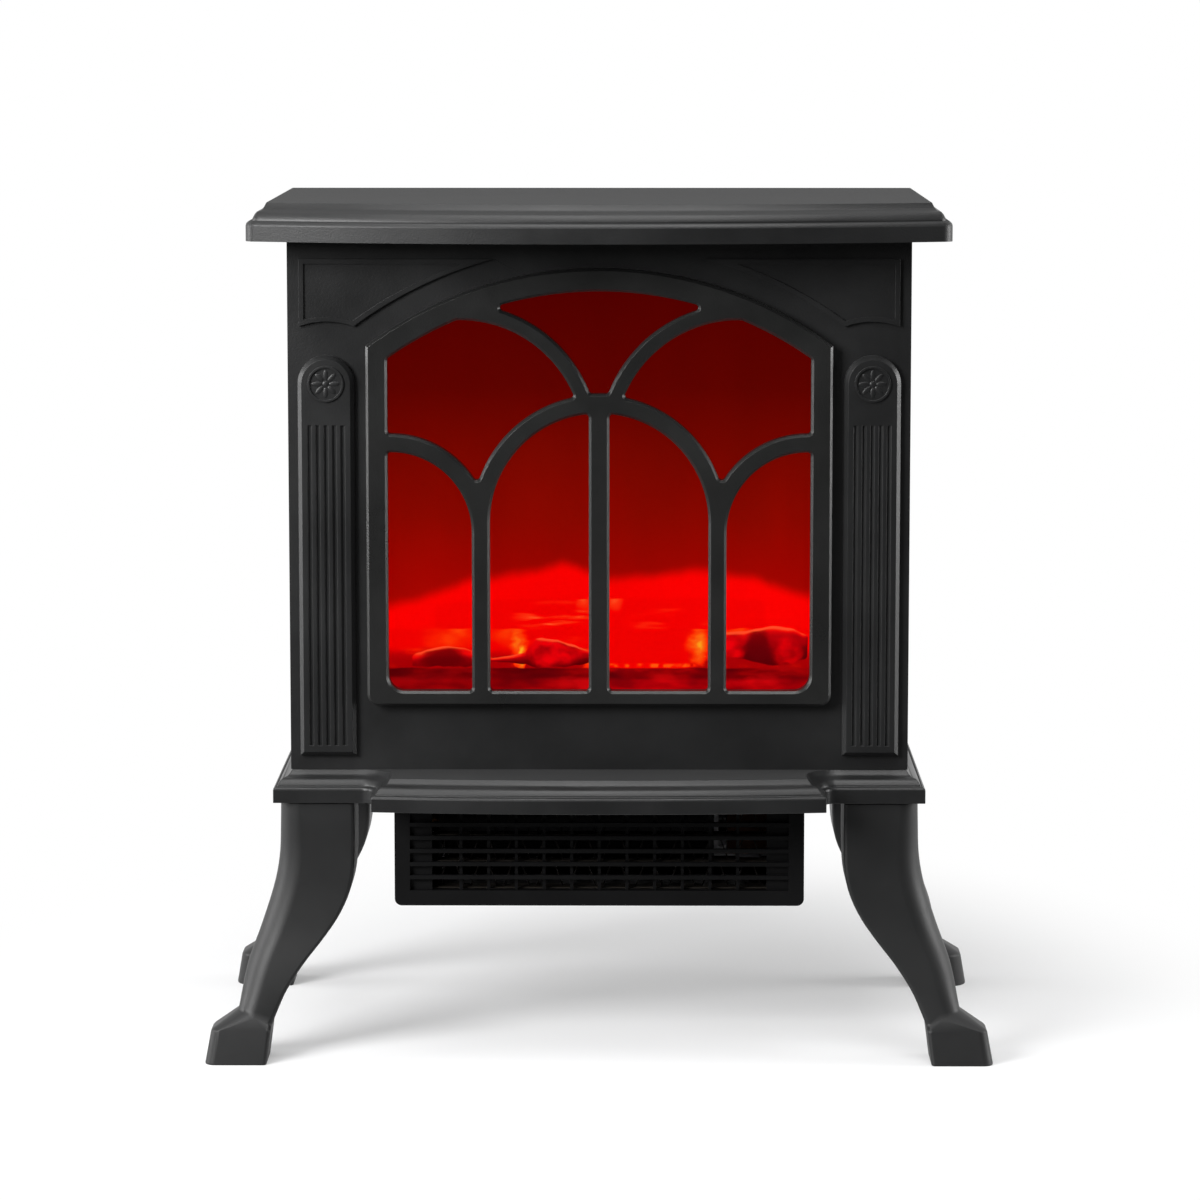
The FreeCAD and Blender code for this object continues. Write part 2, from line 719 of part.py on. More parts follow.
def pilaster():
    """Right pilaster: round-headed bevelled pad with flutes and a rosette."""
    half = PILASTER_W / 2.0
    y0 = FRONT_Y - PILASTER_PROUD
    shaft = block(PILASTER_X - half, PILASTER_X + half, y0, FRONT_Y, PILASTER_BOTTOM, PILASTER_CENTRE_Z)
    head = rod(ALONG_Y, half, Vector(PILASTER_X, y0, PILASTER_CENTRE_Z), PILASTER_PROUD)
    pad = shaft.fuse(head).removeSplitter()
    pad = pad.makeChamfer(PILASTER_BEVEL, edges_on_y(pad, y0))
    flutes = []
    for index in range(FLUTE_COUNT):
        x = PILASTER_X + (index - (FLUTE_COUNT - 1) / 2.0) * FLUTE_PITCH
        flutes.append(polygon_prism([
            Vector(x - FLUTE_W / 2.0, y0 - 1.0, FLUTE_BOTTOM),
            Vector(x - FLUTE_W / 2.0, y0, FLUTE_BOTTOM),
            Vector(x, y0 + FLUTE_DEPTH, FLUTE_BOTTOM),
            Vector(x + FLUTE_W / 2.0, y0, FLUTE_BOTTOM),
            Vector(x + FLUTE_W / 2.0, y0 - 1.0, FLUTE_BOTTOM),
        ], Vector(0, 0, FLUTE_TOP - FLUTE_BOTTOM)))
    centre = Vector(PILASTER_X, y0 - ROSETTE_PROUD, PILASTER_CENTRE_Z)
    rosette = ring(centre, ALONG_Y, ROSETTE_R, ROSETTE_R - ROSETTE_RING, ROSETTE_PROUD)
    return pad.cut(flutes).fuse(rosette)


def spandrel_face(y):
    """Right spandrel outline: a corner field cut back by the arch and scalloped below."""
    side = CASE_HALF_W - SPANDREL_MARGIN
    top = LID_BOTTOM - SPANDREL_HEAD_GAP
    bottom = top - SPANDREL_H
    field = Part.Face(Part.makePolygon([
        Vector(side - SPANDREL_W, y, top),
        Vector(side, y, top),
        Vector(side, y, bottom),
        Vector(side - SPANDREL_W, y, bottom),
        Vector(side - SPANDREL_W, y, top),
    ]))
    scallop_r = (SPANDREL_FOOT_W ** 2 / 4.0 + SPANDREL_RISE ** 2) / (2.0 * SPANDREL_RISE)
    arch_disc = closed_face([Part.makeCircle(ARCH_R + SPANDREL_ARCH_GAP, Vector(0, y, ARCH_CENTRE_Z), ALONG_Y)])
    scallop = closed_face([Part.makeCircle(scallop_r, Vector(side - SPANDREL_FOOT_W / 2.0, y,
                                                             bottom + SPANDREL_RISE - scallop_r), ALONG_Y)])
    rest = field.cut([arch_disc, scallop])
    return max(rest.Faces, key=lambda face: face.Area)


def spandrel():
    """Right spandrel: raised bead around a shallow sunk field."""
    front = FRONT_Y - SPANDREL_PROUD
    pad = spandrel_face(front).extrude(Vector(0, SPANDREL_PROUD, 0))
    field = spandrel_face(front - 1.0).makeOffset2D(-SPANDREL_BEAD)
    return pad.cut(field.extrude(Vector(0, 1.0 + SPANDREL_SINK, 0)))


def front_panel():
    """Moulded front with the arched opening, two pilasters and two spandrels."""
    slab = block(-CASE_HALF_W, CASE_HALF_W, FRONT_Y, PANEL_REAR, HEARTH_TOP, LID_BOTTOM)
    right = [pilaster(), spandrel()]
    relief = right + [mirror_x(shape) for shape in right]
    window = arch_prism(LIGHT_HALF_W + OPENING_MARGIN, FRAME_BOTTOM + FRAME_SILL - OPENING_MARGIN,
                        ARCH_R - FRAME_ARCH_BAR + OPENING_MARGIN, FRONT_Y - 1.0, PANEL_REAR + 1.0, 0.0)
    return fused([slab] + relief).cut(window)


# ---- window frame ----
def half_ring(x, z, outer, inner, y0, y1):
    """Upper half of a ring that stands in the XZ plane."""
    whole = ring(Vector(x, y0, z), ALONG_Y, outer, inner, y1 - y0)
    return whole.common(block(x - outer - 1.0, x + outer + 1.0, y0, y1, z, z + outer + 1.0))


def tracery(y0, y1):
    """Bars of the window: three mullions, one inner arch, two side arches and two upper arches."""
    sill = FRAME_BOTTOM + 1.0
    frame_top = ARCH_CENTRE_Z + ARCH_R
    half_bar = SIDE_BAR_W / 2.0
    side_arch_x = LIGHT_HALF_W - OUTER_ARCH_INSET
    side_arch_r = side_arch_x - SIDE_BAR_X
    half_centre = CENTRE_BAR_W / 2.0
    bars = [
        block(-half_centre, half_centre, y0, y1, sill, CENTRE_BAR_TOP),
        half_ring(0.0, INNER_SPRING_Z, SIDE_BAR_X + half_bar, SIDE_BAR_X - half_bar, y0, y1),
    ]
    side_arch = half_ring(side_arch_x, OUTER_SPRING_Z, side_arch_r + half_bar, side_arch_r - half_bar, y0, y1)
    inner_light = rod(ALONG_Y, SIDE_BAR_X, Vector(0, y0, INNER_SPRING_Z), y1 - y0)
    upper_arch = half_ring(UPPER_ARCH_X, UPPER_SPRING_Z, UPPER_ARCH_X, UPPER_ARCH_X - UPPER_BAR_W, y0, y1)
    upper_arch = upper_arch.cut(inner_light)
    right = [
        block(SIDE_BAR_X - half_bar, SIDE_BAR_X + half_bar, y0, y1, sill, INNER_SPRING_Z),
        side_arch.common(block(SIDE_BAR_X, side_arch_x + side_arch_r, y0, y1, OUTER_SPRING_Z, frame_top)),
        upper_arch.common(block(0.0, FRAME_HALF_W, y0, y1, UPPER_SPRING_Z, frame_top)),
    ]
    return fused(bars + right + [mirror_x(bar) for bar in right])


def is_outer_foot(edge):
    """Whether an edge is a lower outer corner of the glazed area."""
    bounds = edge.BoundBox
    outermost = abs(abs(bounds.Center.x) - LIGHT_HALF_W) < 0.01
    return outermost and bounds.ZMax < FRAME_BOTTOM + FRAME_SILL + 1.0


def panes(y0, y1):
    """The seven glazed lights as separate slabs with rounded corners."""
    inside = arch_prism(LIGHT_HALF_W, FRAME_BOTTOM + FRAME_SILL, ARCH_R - FRAME_ARCH_BAR, y0, y1, 0.0)
    rounded = []
    for pane in inside.cut(tracery(y0, y1)).Solids:
        feet = [edge for edge in corner_edges(pane) if is_outer_foot(edge)]
        corners = [edge for edge in corner_edges(pane) if not is_outer_foot(edge)]
        pane = pane.makeFillet(PANE_CORNER_R, corners)
        if feet:
            pane = pane.makeFillet(PANE_FOOT_R, [edge for edge in corner_edges(pane) if is_outer_foot(edge)])
        rounded.append(pane)
    return rounded


def window_frame():
    """Proud arched frame with tracery: every bar has bevelled lips."""
    front = FRONT_Y - FRAME_PROUD
    slab = arch_prism(FRAME_HALF_W, FRAME_BOTTOM, ARCH_R, front, FRONT_Y, FRAME_CORNER_R)
    frame = slab.cut(panes(front - 1.0, FRONT_Y + 1.0))
    return frame.makeChamfer(FRAME_BEVEL, edges_on_y(frame, front))


# ---- glass ----
def glass_limits():
    """Bottom and top edge of the glass."""
    bottom = FRAME_BOTTOM + FRAME_SILL - OPENING_MARGIN - GLASS_LAP
    top = ARCH_CENTRE_Z + ARCH_R - FRAME_ARCH_BAR + OPENING_MARGIN + GLASS_LAP
    return bottom, top


def window_glass():
    """Flat pane held against the back of the front panel."""
    bottom, top = glass_limits()
    return block(-GLASS_HALF_W, GLASS_HALF_W, PANEL_REAR, PANEL_REAR + GLASS_T, bottom, top)


def glass_clips():
    """Stepped clips on the back of the front panel that hold the glass by its side edges."""
    bottom, top = glass_limits()
    right = GLASS_HALF_W
    back = PANEL_REAR + GLASS_T
    clips = []
    for row in range(CLIP_ROWS):
        z = bottom + CLIP_END + (top - bottom - 2.0 * CLIP_END) * row / (CLIP_ROWS - 1)
        foot = block(right, right + CLIP_FOOT, PANEL_REAR, back + CLIP_T, z - CLIP_W / 2.0, z + CLIP_W / 2.0)
        tongue = block(right - CLIP_GRIP, right + CLIP_FOOT, back, back + CLIP_T,
                       z - CLIP_W / 2.0, z + CLIP_W / 2.0)
        clip = fused([foot, tongue])
        clips.append(clip)
        clips.append(mirror_x(clip))
    return group(clips)


# ---- sheet metal case ----
def right_side_panel():
    """Steel side with a flange behind the front panel and one under the back panel."""
    outer = CASE_HALF_W
    rear = BACK_Y - SHEET
    wall = block(outer - SHEET, outer, PANEL_REAR, rear, HEARTH_TOP, LID_BOTTOM)
    front_flange = block(outer - FLANGE, outer, PANEL_REAR, PANEL_REAR + SHEET, HEARTH_TOP, LID_BOTTOM)
    rear_flange = block(outer - FLANGE, outer, rear - SHEET, rear, HEARTH_TOP, LID_BOTTOM)
    holes = [stud(ALONG_Y, SCREW_R, Vector(x, rear - SHEET - 1.0, z), SHEET + 2.0)
             for x, z in back_screw_places() if x > 0]
    return fused([wall, front_flange, rear_flange]).cut(holes)


def back_screw_places():
    """Screw axes along both sides of the back panel."""
    x = CASE_HALF_W - BACK_SCREW_INSET
    bottom = HEARTH_TOP + 2.0 * BACK_SCREW_INSET
    span = LID_BOTTOM - HEARTH_TOP - 4.0 * BACK_SCREW_INSET
    places = []
    for row in range(BACK_SCREW_ROWS):
        z = bottom + span * row / (BACK_SCREW_ROWS - 1)
        places.append((-x, z))
        places.append((x, z))
    return places


def louvre(x, z):
    """Hooded vent: a slot with a sloping hood that opens downwards."""
    slot = block(x - LOUVRE_HALF_W, x + LOUVRE_HALF_W, BACK_Y - SHEET - 1.0, BACK_Y + 1.0, z, z + LOUVRE_SLOT)
    hood_outer = [
        Vector(x - LOUVRE_HALF_W - SHEET, BACK_Y, z + LOUVRE_SLOT + 2.0 * SHEET),
        Vector(x - LOUVRE_HALF_W - SHEET, BACK_Y, z),
        Vector(x - LOUVRE_HALF_W - SHEET, BACK_Y + LOUVRE_PROUD, z),
    ]
    hood_inner = [
        Vector(x - LOUVRE_HALF_W, BACK_Y - 0.1, z + LOUVRE_SLOT),
        Vector(x - LOUVRE_HALF_W, BACK_Y - 0.1, z - 0.1),
        Vector(x - LOUVRE_HALF_W, BACK_Y + LOUVRE_PROUD - SHEET, z - 0.1),
    ]
    width = 2.0 * LOUVRE_HALF_W
    hood = polygon_prism(hood_outer, Vector(width + 2.0 * SHEET, 0, 0))
    return slot, hood.cut(polygon_prism(hood_inner, Vector(width, 0, 0)))


def back_panel():
    """Steel back with hooded vents, screw holes, the control opening and the cord inlet hole."""
    sheet = block(-CASE_HALF_W, CASE_HALF_W, BACK_Y - SHEET, BACK_Y, HEARTH_TOP, LID_BOTTOM)
    slots = []
    hoods = []
    for column in LOUVRE_COLUMNS:
        for row in range(LOUVRE_COUNT):
            slot, hood = louvre(column, LOUVRE_BOTTOM + row * LOUVRE_PITCH)
            slots.append(slot)
            hoods.append(hood)
    window = block(CONTROL_X - CONTROL_HALF_W + CONTROL_EDGE, CONTROL_X + CONTROL_HALF_W - CONTROL_EDGE,
                   BACK_Y - SHEET - 1.0, BACK_Y + 1.0,
                   CONTROL_Z - CONTROL_HALF_H + CONTROL_EDGE, CONTROL_Z + CONTROL_HALF_H - CONTROL_EDGE)
    holes = [stud(ALONG_Y, SCREW_R + SCREW_GAP, Vector(x, BACK_Y - SHEET - 1.0, z), SHEET + 2.0)
             for x, z in back_screw_places()]
    inlet = rod(ALONG_Y, GLAND_NECK_R, Vector(GLAND_X, BACK_Y - SHEET - 1.0, GLAND_Z), SHEET + 2.0)
    return sheet.cut(slots + [window, inlet] + holes).fuse(hoods).removeSplitter()


def back_panel_screws():
    """Pan-head screws through the back panel into the side flanges."""
    screws = []
    for x, z in back_screw_places():
        head = stud(ALONG_Y, SCREW_HEAD_R, Vector(x, BACK_Y, z), SCREW_HEAD_H)
        shank = stud(ALONG_Y, SCREW_R, Vector(x, BACK_Y - SCREW_BITE / 2.0, z), SCREW_BITE / 2.0)
        screws.append(head.fuse(shank))
    return group(screws)


def cable_gland():
    """Cord inlet: flange outside, neck through the panel and a bore for the cord."""
    flange = rod(ALONG_Y, GLAND_R, Vector(GLAND_X, BACK_Y, GLAND_Z), GLAND_OUT)
    flange = flange.makeChamfer(MOULD_WALL / 2.0, edges_on_y(flange, BACK_Y + GLAND_OUT))
    neck = rod(ALONG_Y, GLAND_NECK_R, Vector(GLAND_X, BACK_Y - SHEET - GLAND_IN, GLAND_Z), GLAND_IN + SHEET)
    bore = rod(ALONG_Y, GLAND_BORE_R, Vector(GLAND_X, BACK_Y - SHEET - GLAND_IN - 1.0, GLAND_Z),
               GLAND_IN + SHEET + GLAND_OUT + 2.0)
    return flange.fuse(neck).cut(bore)


# ---- heater box ----
def heater_housing():
    """Open-fronted box that hangs in the hearth pocket, with inlet slots in its back."""
    front = BOX_FRONT + GRILLE_DEPTH
    shell = block(-BOX_HALF_W, BOX_HALF_W, front, BOX_BACK, BOX_BOTTOM, POCKET_ROOF)
    keels = [edge for edge in edges_along(shell, ALONG_Y) if edge.BoundBox.ZMax < BOX_BOTTOM + 1.0]
    shell = shell.makeFillet(BOX_CORNER_R, keels)
    inner_x = BOX_HALF_W - BOX_WALL
    hollow = block(-inner_x, inner_x, front - 1.0, BOX_BACK - BOX_WALL, BOX_BOTTOM + BOX_WALL, POCKET_ROOF + 1.0)
    lips = []
    for side in (-1, 1):
        edge_x = side * inner_x
        lip_x = side * (inner_x - BOX_LIP)
        lips.append(block(min(edge_x, lip_x), max(edge_x, lip_x), front, BOX_BACK - BOX_WALL,
                          POCKET_ROOF - BOX_WALL, POCKET_ROOF))
    slots = []
    for index in range(INLET_COUNT):
        x = (index - (INLET_COUNT - 1) / 2.0) * INLET_PITCH
        slots.append(block(x - INLET_W / 2.0, x + INLET_W / 2.0, BOX_BACK - BOX_WALL - 1.0, BOX_BACK + 1.0,
                           INLET_BOTTOM, INLET_TOP))
    holes = upright_holes(box_screw_places(), SCREW_R, POCKET_ROOF - BOX_WALL - 1.0, POCKET_ROOF + 1.0)
    return fused([shell.cut([hollow] + slots)] + lips).cut(holes)


def heater_screws():
    """Screws from inside the case that carry the heater box."""
    screws = []
    for x, y in box_screw_places():
        bottom = POCKET_ROOF - SCREW_BITE / 2.0
        shank = stud(ALONG_Z, SCREW_R, Vector(x, y, bottom), FLOOR_TOP - bottom)
        screws.append(hexagon(x, y, FLOOR_TOP, SCREW_HEAD_R, SCREW_HEAD_H).fuse(shank))
    return group(screws)


def outlet_grille():
    """Front of the heater box: frame, horizontal slats, upright ribs behind them and blind end blocks."""
    rear = BOX_FRONT + GRILLE_DEPTH
    plate = block(-BOX_HALF_W, BOX_HALF_W, BOX_FRONT, rear, BOX_BOTTOM, POCKET_ROOF)
    keels = [edge for edge in edges_along(plate, ALONG_Y) if edge.BoundBox.ZMax < BOX_BOTTOM + 1.0]
    plate = plate.makeFillet(BOX_CORNER_R, keels)
    opening_top = GRILLE_BOTTOM + SLAT_PITCH * SLAT_COUNT
    opening = block(-GRILLE_HALF_W, GRILLE_HALF_W, BOX_FRONT - 1.0, rear + 1.0, GRILLE_BOTTOM, opening_top)
    bars = []
    for index in range(1, SLAT_COUNT):
        z = GRILLE_BOTTOM + index * SLAT_PITCH
        bars.append(block(-GRILLE_HALF_W, GRILLE_HALF_W, BOX_FRONT, BOX_FRONT + SLAT_DEPTH,
                          z - SLAT_T / 2.0, z + SLAT_T / 2.0))
    for index in range(RIB_COUNT):
        x = (index - (RIB_COUNT - 1) / 2.0) * RIB_PITCH
        bars.append(block(x - RIB_T / 2.0, x + RIB_T / 2.0, BOX_FRONT + SLAT_DEPTH, rear,
                          GRILLE_BOTTOM, opening_top))
    for side in (-1, 1):
        ends = sorted((side * GRILLE_HALF_W, side * (GRILLE_HALF_W - END_BLOCK_W)))
        bars.append(block(ends[0], ends[1], BOX_FRONT + SLAT_DEPTH, rear, GRILLE_BOTTOM, opening_top))
    return fused([plate.cut(opening)] + bars)


# ---- cross-flow fan ----
def cradle_right_x():
    """Inner face of the right cradle cheek."""
    return FAN_RIGHT_X + FAN_END_GAP


def cradle_left_x():
    """Inner face of the left cradle cheek."""
    return FAN_LEFT_X - FAN_END_GAP


def fan_cradle():
    """Folded steel cradle: two cheeks on the box floor, joined by the scroll behind the rotor."""
    floor = BOX_BOTTOM + BOX_WALL
    rear = BOX_BACK - BOX_WALL
    left = cradle_left_x()
    right = cradle_right_x()
    cheeks = [
        block(left - CRADLE_T, left, CRADLE_FRONT, rear, floor, CRADLE_TOP),
        block(right, right + CRADLE_T, CRADLE_FRONT, rear, floor, CRADLE_TOP),
    ]
    scroll_r = FAN_R + SCROLL_GAP
    scroll = ring(Vector(left, FAN_Y, FAN_Z), ALONG_X, scroll_r + CRADLE_T, scroll_r, right - left)
    reach = 2.0 * scroll_r
    mouth = [Vector(left, FAN_Y, FAN_Z)]
    for turn in (SCROLL_END, (SCROLL_END + SCROLL_START + 360.0) / 2.0, SCROLL_START + 360.0):
        angle = math.radians(turn)
        mouth.append(Vector(left, FAN_Y + reach * math.cos(angle), FAN_Z + reach * math.sin(angle)))
    scroll = scroll.cut(polygon_prism(mouth, Vector(right - left, 0, 0)))
    axis_left = Vector(left - CRADLE_T - 1.0, FAN_Y, FAN_Z)
    bush_hole = rod(ALONG_X, BUSH_R, axis_left, CRADLE_T + 2.0)
    shaft_hole = rod(ALONG_X, BUSH_R, Vector(right - 1.0, FAN_Y, FAN_Z), CRADLE_T + 2.0)
    return fused(cheeks + [scroll]).cut([bush_hole, shaft_hole])


def fan_bush():
    """Sleeve bearing in the left cheek, with a shoulder inside it."""
    left = cradle_left_x()
    sleeve = rod(ALONG_X, BUSH_R, Vector(left - BUSH_LENGTH, FAN_Y, FAN_Z), BUSH_LENGTH)
    shoulder = rod(ALONG_X, BUSH_R + CRADLE_T, Vector(left - BUSH_LENGTH, FAN_Y, FAN_Z), BUSH_LENGTH - CRADLE_T)
    bore = rod(ALONG_X, SHAFT_R + SHAFT_FIT, Vector(left - BUSH_LENGTH - 1.0, FAN_Y, FAN_Z), BUSH_LENGTH + 2.0)
    return sleeve.fuse(shoulder).cut(bore).removeSplitter()


def fan_shaft():
    """Steel shaft from the left bush through the rotor to the far motor bearing."""
    left = cradle_left_x() - BUSH_LENGTH
    right = motor_far_x() + MOTOR_END_T
    return rod(ALONG_X, SHAFT_R, Vector(left, FAN_Y, FAN_Z), right - left)


def fan_blade(x0, x1):
    """One blade at the top of the rotor, bent to a shallow V."""
    inner = FAN_R - FAN_BLADE_DEPTH
    middle = FAN_R - FAN_BLADE_DEPTH / 2.0
    outer = FAN_R - FAN_BLADE_T / 2.0
    return polygon_prism([
        Vector(x0, 0.0, inner),
        Vector(x0, FAN_BLADE_CAMBER, middle),
        Vector(x0, 0.0, outer),
        Vector(x0, FAN_BLADE_T, outer),
        Vector(x0, FAN_BLADE_CAMBER + FAN_BLADE_T, middle),
        Vector(x0, FAN_BLADE_T, inner),
    ], Vector(x1 - x0, 0, 0))


def fan_rotor():
    """Cross-flow rotor: discs on the shaft with curved blades between them."""
    discs = []
    span = FAN_RIGHT_X - FAN_LEFT_X - FAN_DISC_T
    for index in range(FAN_STAGES + 1):
        x = FAN_LEFT_X + span * index / FAN_STAGES
        discs.append(rod(ALONG_X, FAN_R, Vector(x, 0, 0), FAN_DISC_T))
    blades = []
    for index in range(FAN_BLADES):
        blade = fan_blade(FAN_LEFT_X + FAN_DISC_T, FAN_RIGHT_X - FAN_DISC_T)
        blade.rotate(Vector(0, 0, 0), ALONG_X, 360.0 * index / FAN_BLADES)
        blades.append(blade)
    rotor = fused(discs + blades)
    bore = rod(ALONG_X, SHAFT_R, Vector(FAN_LEFT_X - 1.0, 0, 0), FAN_RIGHT_X - FAN_LEFT_X + 2.0)
    rotor = rotor.cut(bore)
    rotor.translate(Vector(0, FAN_Y, FAN_Z))
    return rotor


# ---- fan motor ----
def motor_near_x():
    """Face of the motor stack nearest the rotor."""
    return cradle_right_x() + CRADLE_T + MOTOR_STANDOFF


def motor_far_x():
    """Inner face of the outer motor bearing plate."""
    return motor_near_x() + MOTOR_STACK + MOTOR_STANDOFF - MOTOR_END_T


def motor_stator():
    """Laminated stack with the rotor bore at one end and the coil limb at the other."""
    x0 = motor_near_x()
    x1 = x0 + MOTOR_STACK
    stack = block(x0, x1, FAN_Y - MOTOR_ARM, FAN_Y + MOTOR_HALF_H, FAN_Z - MOTOR_HALF_H, FAN_Z + MOTOR_HALF_H)
    window = block(x0 - 1.0, x1 + 1.0, FAN_Y - MOTOR_ARM + MOTOR_LIMB, FAN_Y - MOTOR_BORE_R - MOTOR_BRIDGE,
                   FAN_Z - MOTOR_HALF_H + MOTOR_YOKE, FAN_Z + MOTOR_HALF_H - MOTOR_YOKE)
    bore = rod(ALONG_X, MOTOR_BORE_R, Vector(x0 - 1.0, FAN_Y, FAN_Z), MOTOR_STACK + 2.0)
    return stack.cut([window, bore])


def motor_coil():
    """Winding on the coil limb."""
    x0 = motor_near_x()
    limb_y = FAN_Y - MOTOR_ARM
    half_h = MOTOR_HALF_H - MOTOR_YOKE
    winding = block(x0 - MOTOR_COIL_WALL, x0 + MOTOR_STACK + MOTOR_COIL_WALL, limb_y - MOTOR_COIL_WALL,
                    limb_y + MOTOR_LIMB + MOTOR_COIL_WALL, FAN_Z - half_h, FAN_Z + half_h)
    limb = block(x0, x0 + MOTOR_STACK, limb_y, limb_y + MOTOR_LIMB, FAN_Z - half_h, FAN_Z + half_h)
    return winding.cut(limb)


def motor_rotor():
    """Squirrel-cage rotor on the fan shaft, inside the stack."""
    x0 = motor_near_x()
    drum = rod(ALONG_X, MOTOR_BORE_R - MOTOR_AIR_GAP, Vector(x0, FAN_Y, FAN_Z), MOTOR_STACK)
    return drum.cut(rod(ALONG_X, SHAFT_R, Vector(x0 - 1.0, FAN_Y, FAN_Z), MOTOR_STACK + 2.0))


def motor_frame():
    """Two bearing plates and four posts that carry the stack from the right cheek."""
    near = cradle_right_x() + CRADLE_T
    far = motor_far_x()
    half = MOTOR_HALF_H
    plates = [
        block(near, near + MOTOR_END_T, FAN_Y - half, FAN_Y + half, FAN_Z - half, FAN_Z + half),
        block(far, far + MOTOR_END_T, FAN_Y - half, FAN_Y + half, FAN_Z - half, FAN_Z + half),
    ]
    for y in (FAN_Y - half, FAN_Y + half - MOTOR_POST):
        for z in (FAN_Z - half, FAN_Z + half - MOTOR_POST):
            plates.append(block(near, motor_near_x(), y, y + MOTOR_POST, z, z + MOTOR_POST))
            plates.append(block(motor_near_x() + MOTOR_STACK, far, y, y + MOTOR_POST, z, z + MOTOR_POST))
    bore = rod(ALONG_X, SHAFT_R + SHAFT_FIT, Vector(near - 1.0, FAN_Y, FAN_Z), far + MOTOR_END_T - near + 2.0)
    return group([solid.cut(bore) for solid in fused(plates).Solids])


# ---- heating element ----
def mica_rows():
    """Heights of the mica shelves."""
    bottom = GRILLE_BOTTOM
    step = SLAT_PITCH * SLAT_COUNT / WIRE_ROWS
    return [bottom + step * index for index in range(WIRE_ROWS + 1)]


def mica_frame():
    """Mica shelves between two cheeks that stand on the floor of the heater box."""
    rear = ELEMENT_FRONT + ELEMENT_DEPTH
    rows = mica_rows()
    floor = BOX_BOTTOM + BOX_WALL
    pieces = [
        block(-ELEMENT_HALF_W, -ELEMENT_HALF_W + MICA_T, ELEMENT_FRONT, rear, floor, rows[-1] + 2.0 * MICA_T),
        block(ELEMENT_HALF_W - MICA_T, ELEMENT_HALF_W, ELEMENT_FRONT, rear, floor, rows[-1] + 2.0 * MICA_T),
    ]
    for z in rows:
        pieces.append(block(-ELEMENT_HALF_W, ELEMENT_HALF_W, ELEMENT_FRONT, rear, z, z + MICA_T))
    return fused(pieces)


def heating_wire():
    """Folded resistance ribbons, one between each pair of mica shelves."""
    rows = mica_rows()
    half_w = ELEMENT_HALF_W - WIRE_END_GAP
    pitch = 2.0 * half_w / (WIRE_FOLDS + 1)
    narrow = WIRE_FLAT
    wide = WIRE_FLAT + WIRE_T / 2.0
    y = ELEMENT_FRONT + (ELEMENT_DEPTH - WIRE_DEPTH) / 2.0
    ribbons = []
    for low, high in zip(rows[:-1], rows[1:]):
        bottom = low + MICA_T
        upper = []
        lower = []
        for fold in range(WIRE_FOLDS + 1):
            x = -half_w + pitch * (fold + 0.5)
            if fold % 2 == 0:
                upper += [Vector(x - narrow, y, bottom + WIRE_T), Vector(x + narrow, y, bottom + WIRE_T)]
                lower += [Vector(x - wide, y, bottom), Vector(x + wide, y, bottom)]
            else:
                upper += [Vector(x - wide, y, high), Vector(x + wide, y, high)]
                lower += [Vector(x - narrow, y, high - WIRE_T), Vector(x + narrow, y, high - WIRE_T)]
        ribbons.append(polygon_prism(upper + lower[::-1], Vector(0, WIRE_DEPTH, 0)))
    return group(ribbons)


def thermal_cutout():
    """Button thermostat on the top mica shelf."""
    rows = mica_rows()
    centre = Vector(0, ELEMENT_FRONT + ELEMENT_DEPTH / 2.0, rows[-1] + MICA_T)
    can = rod(ALONG_Z, min(CUTOUT_R, ELEMENT_DEPTH / 2.0), centre, CUTOUT_T)
    tab = block(-CUTOUT_TAB, CUTOUT_TAB, centre.y - CUTOUT_TAB_HALF, centre.y + CUTOUT_TAB_HALF,
                centre.z, centre.z + SHEET)
    return fused([can, tab])


# ---- fire chamber ----
def firebox_liner():
    """Dark sheet liner: two walls and a roof around the fire view."""
    outer = LINER_HALF_W + SHEET
    shell = block(-outer, outer, PANEL_REAR, SCREEN_Y, FLOOR_TOP, LINER_TOP)
    hollow = block(-LINER_HALF_W, LINER_HALF_W, PANEL_REAR - 1.0, SCREEN_Y + 1.0,
                   FLOOR_TOP - 1.0, LINER_TOP - SHEET)
    return shell.cut(hollow)


def flame_screen():
    """Upright screen behind the fuel bed that the moving light falls on."""
    outer = LINER_HALF_W + SHEET
    return block(-outer, outer, SCREEN_Y, SCREEN_Y + SCREEN_T, FLOOR_TOP, LINER_TOP)


def bed_section(inset):
    """Cross-section of the fuel bed in the YZ plane: skirt, lip and rounded mound."""
    x = -LINER_HALF_W + FIT_GAP + inset
    front = PANEL_REAR + GLASS_T + CLIP_T + FIT_GAP + inset
    back = SCREEN_Y - FIT_GAP - inset
    low = FLOOR_TOP
    lip = Vector(x, BED_LIP_Y + inset, BED_LIP_Z - inset)
    crest = Vector(x, BED_CREST_Y, BED_CREST_Z - inset)
    rear = Vector(x, back, BED_BACK_Z - inset)
    return closed_face([
        line(Vector(x, front, low), Vector(x, front, BED_LIP_Z - inset)),
        line(Vector(x, front, BED_LIP_Z - inset), lip),
        arc(lip, crest, rear),
        line(rear, Vector(x, back, low)),
        line(Vector(x, back, low), Vector(x, front, low)),
    ])


def log_shape(start, end):
    """One log: a many-sided billet between two points, with bevelled ends."""
    along = (end - start).normalize()
    across = along.cross(ALONG_Z).normalize()
    upright = across.cross(along)
    points = []
    for side in range(LOG_SIDES):
        turn = 2.0 * math.pi * side / LOG_SIDES
        radius = LOG_R - LOG_FLAT * (1.0 + math.cos(3.0 * turn)) / 2.0
        points.append(start + across * (radius * math.cos(turn)) + upright * (radius * math.sin(turn)))
    billet = polygon_prism(points, end - start)
    ends = [edge for edge in billet.Edges if abs(edge.tangentAt(edge.FirstParameter).dot(along)) < 0.9]
    return billet.makeChamfer(LOG_BEVEL, ends)


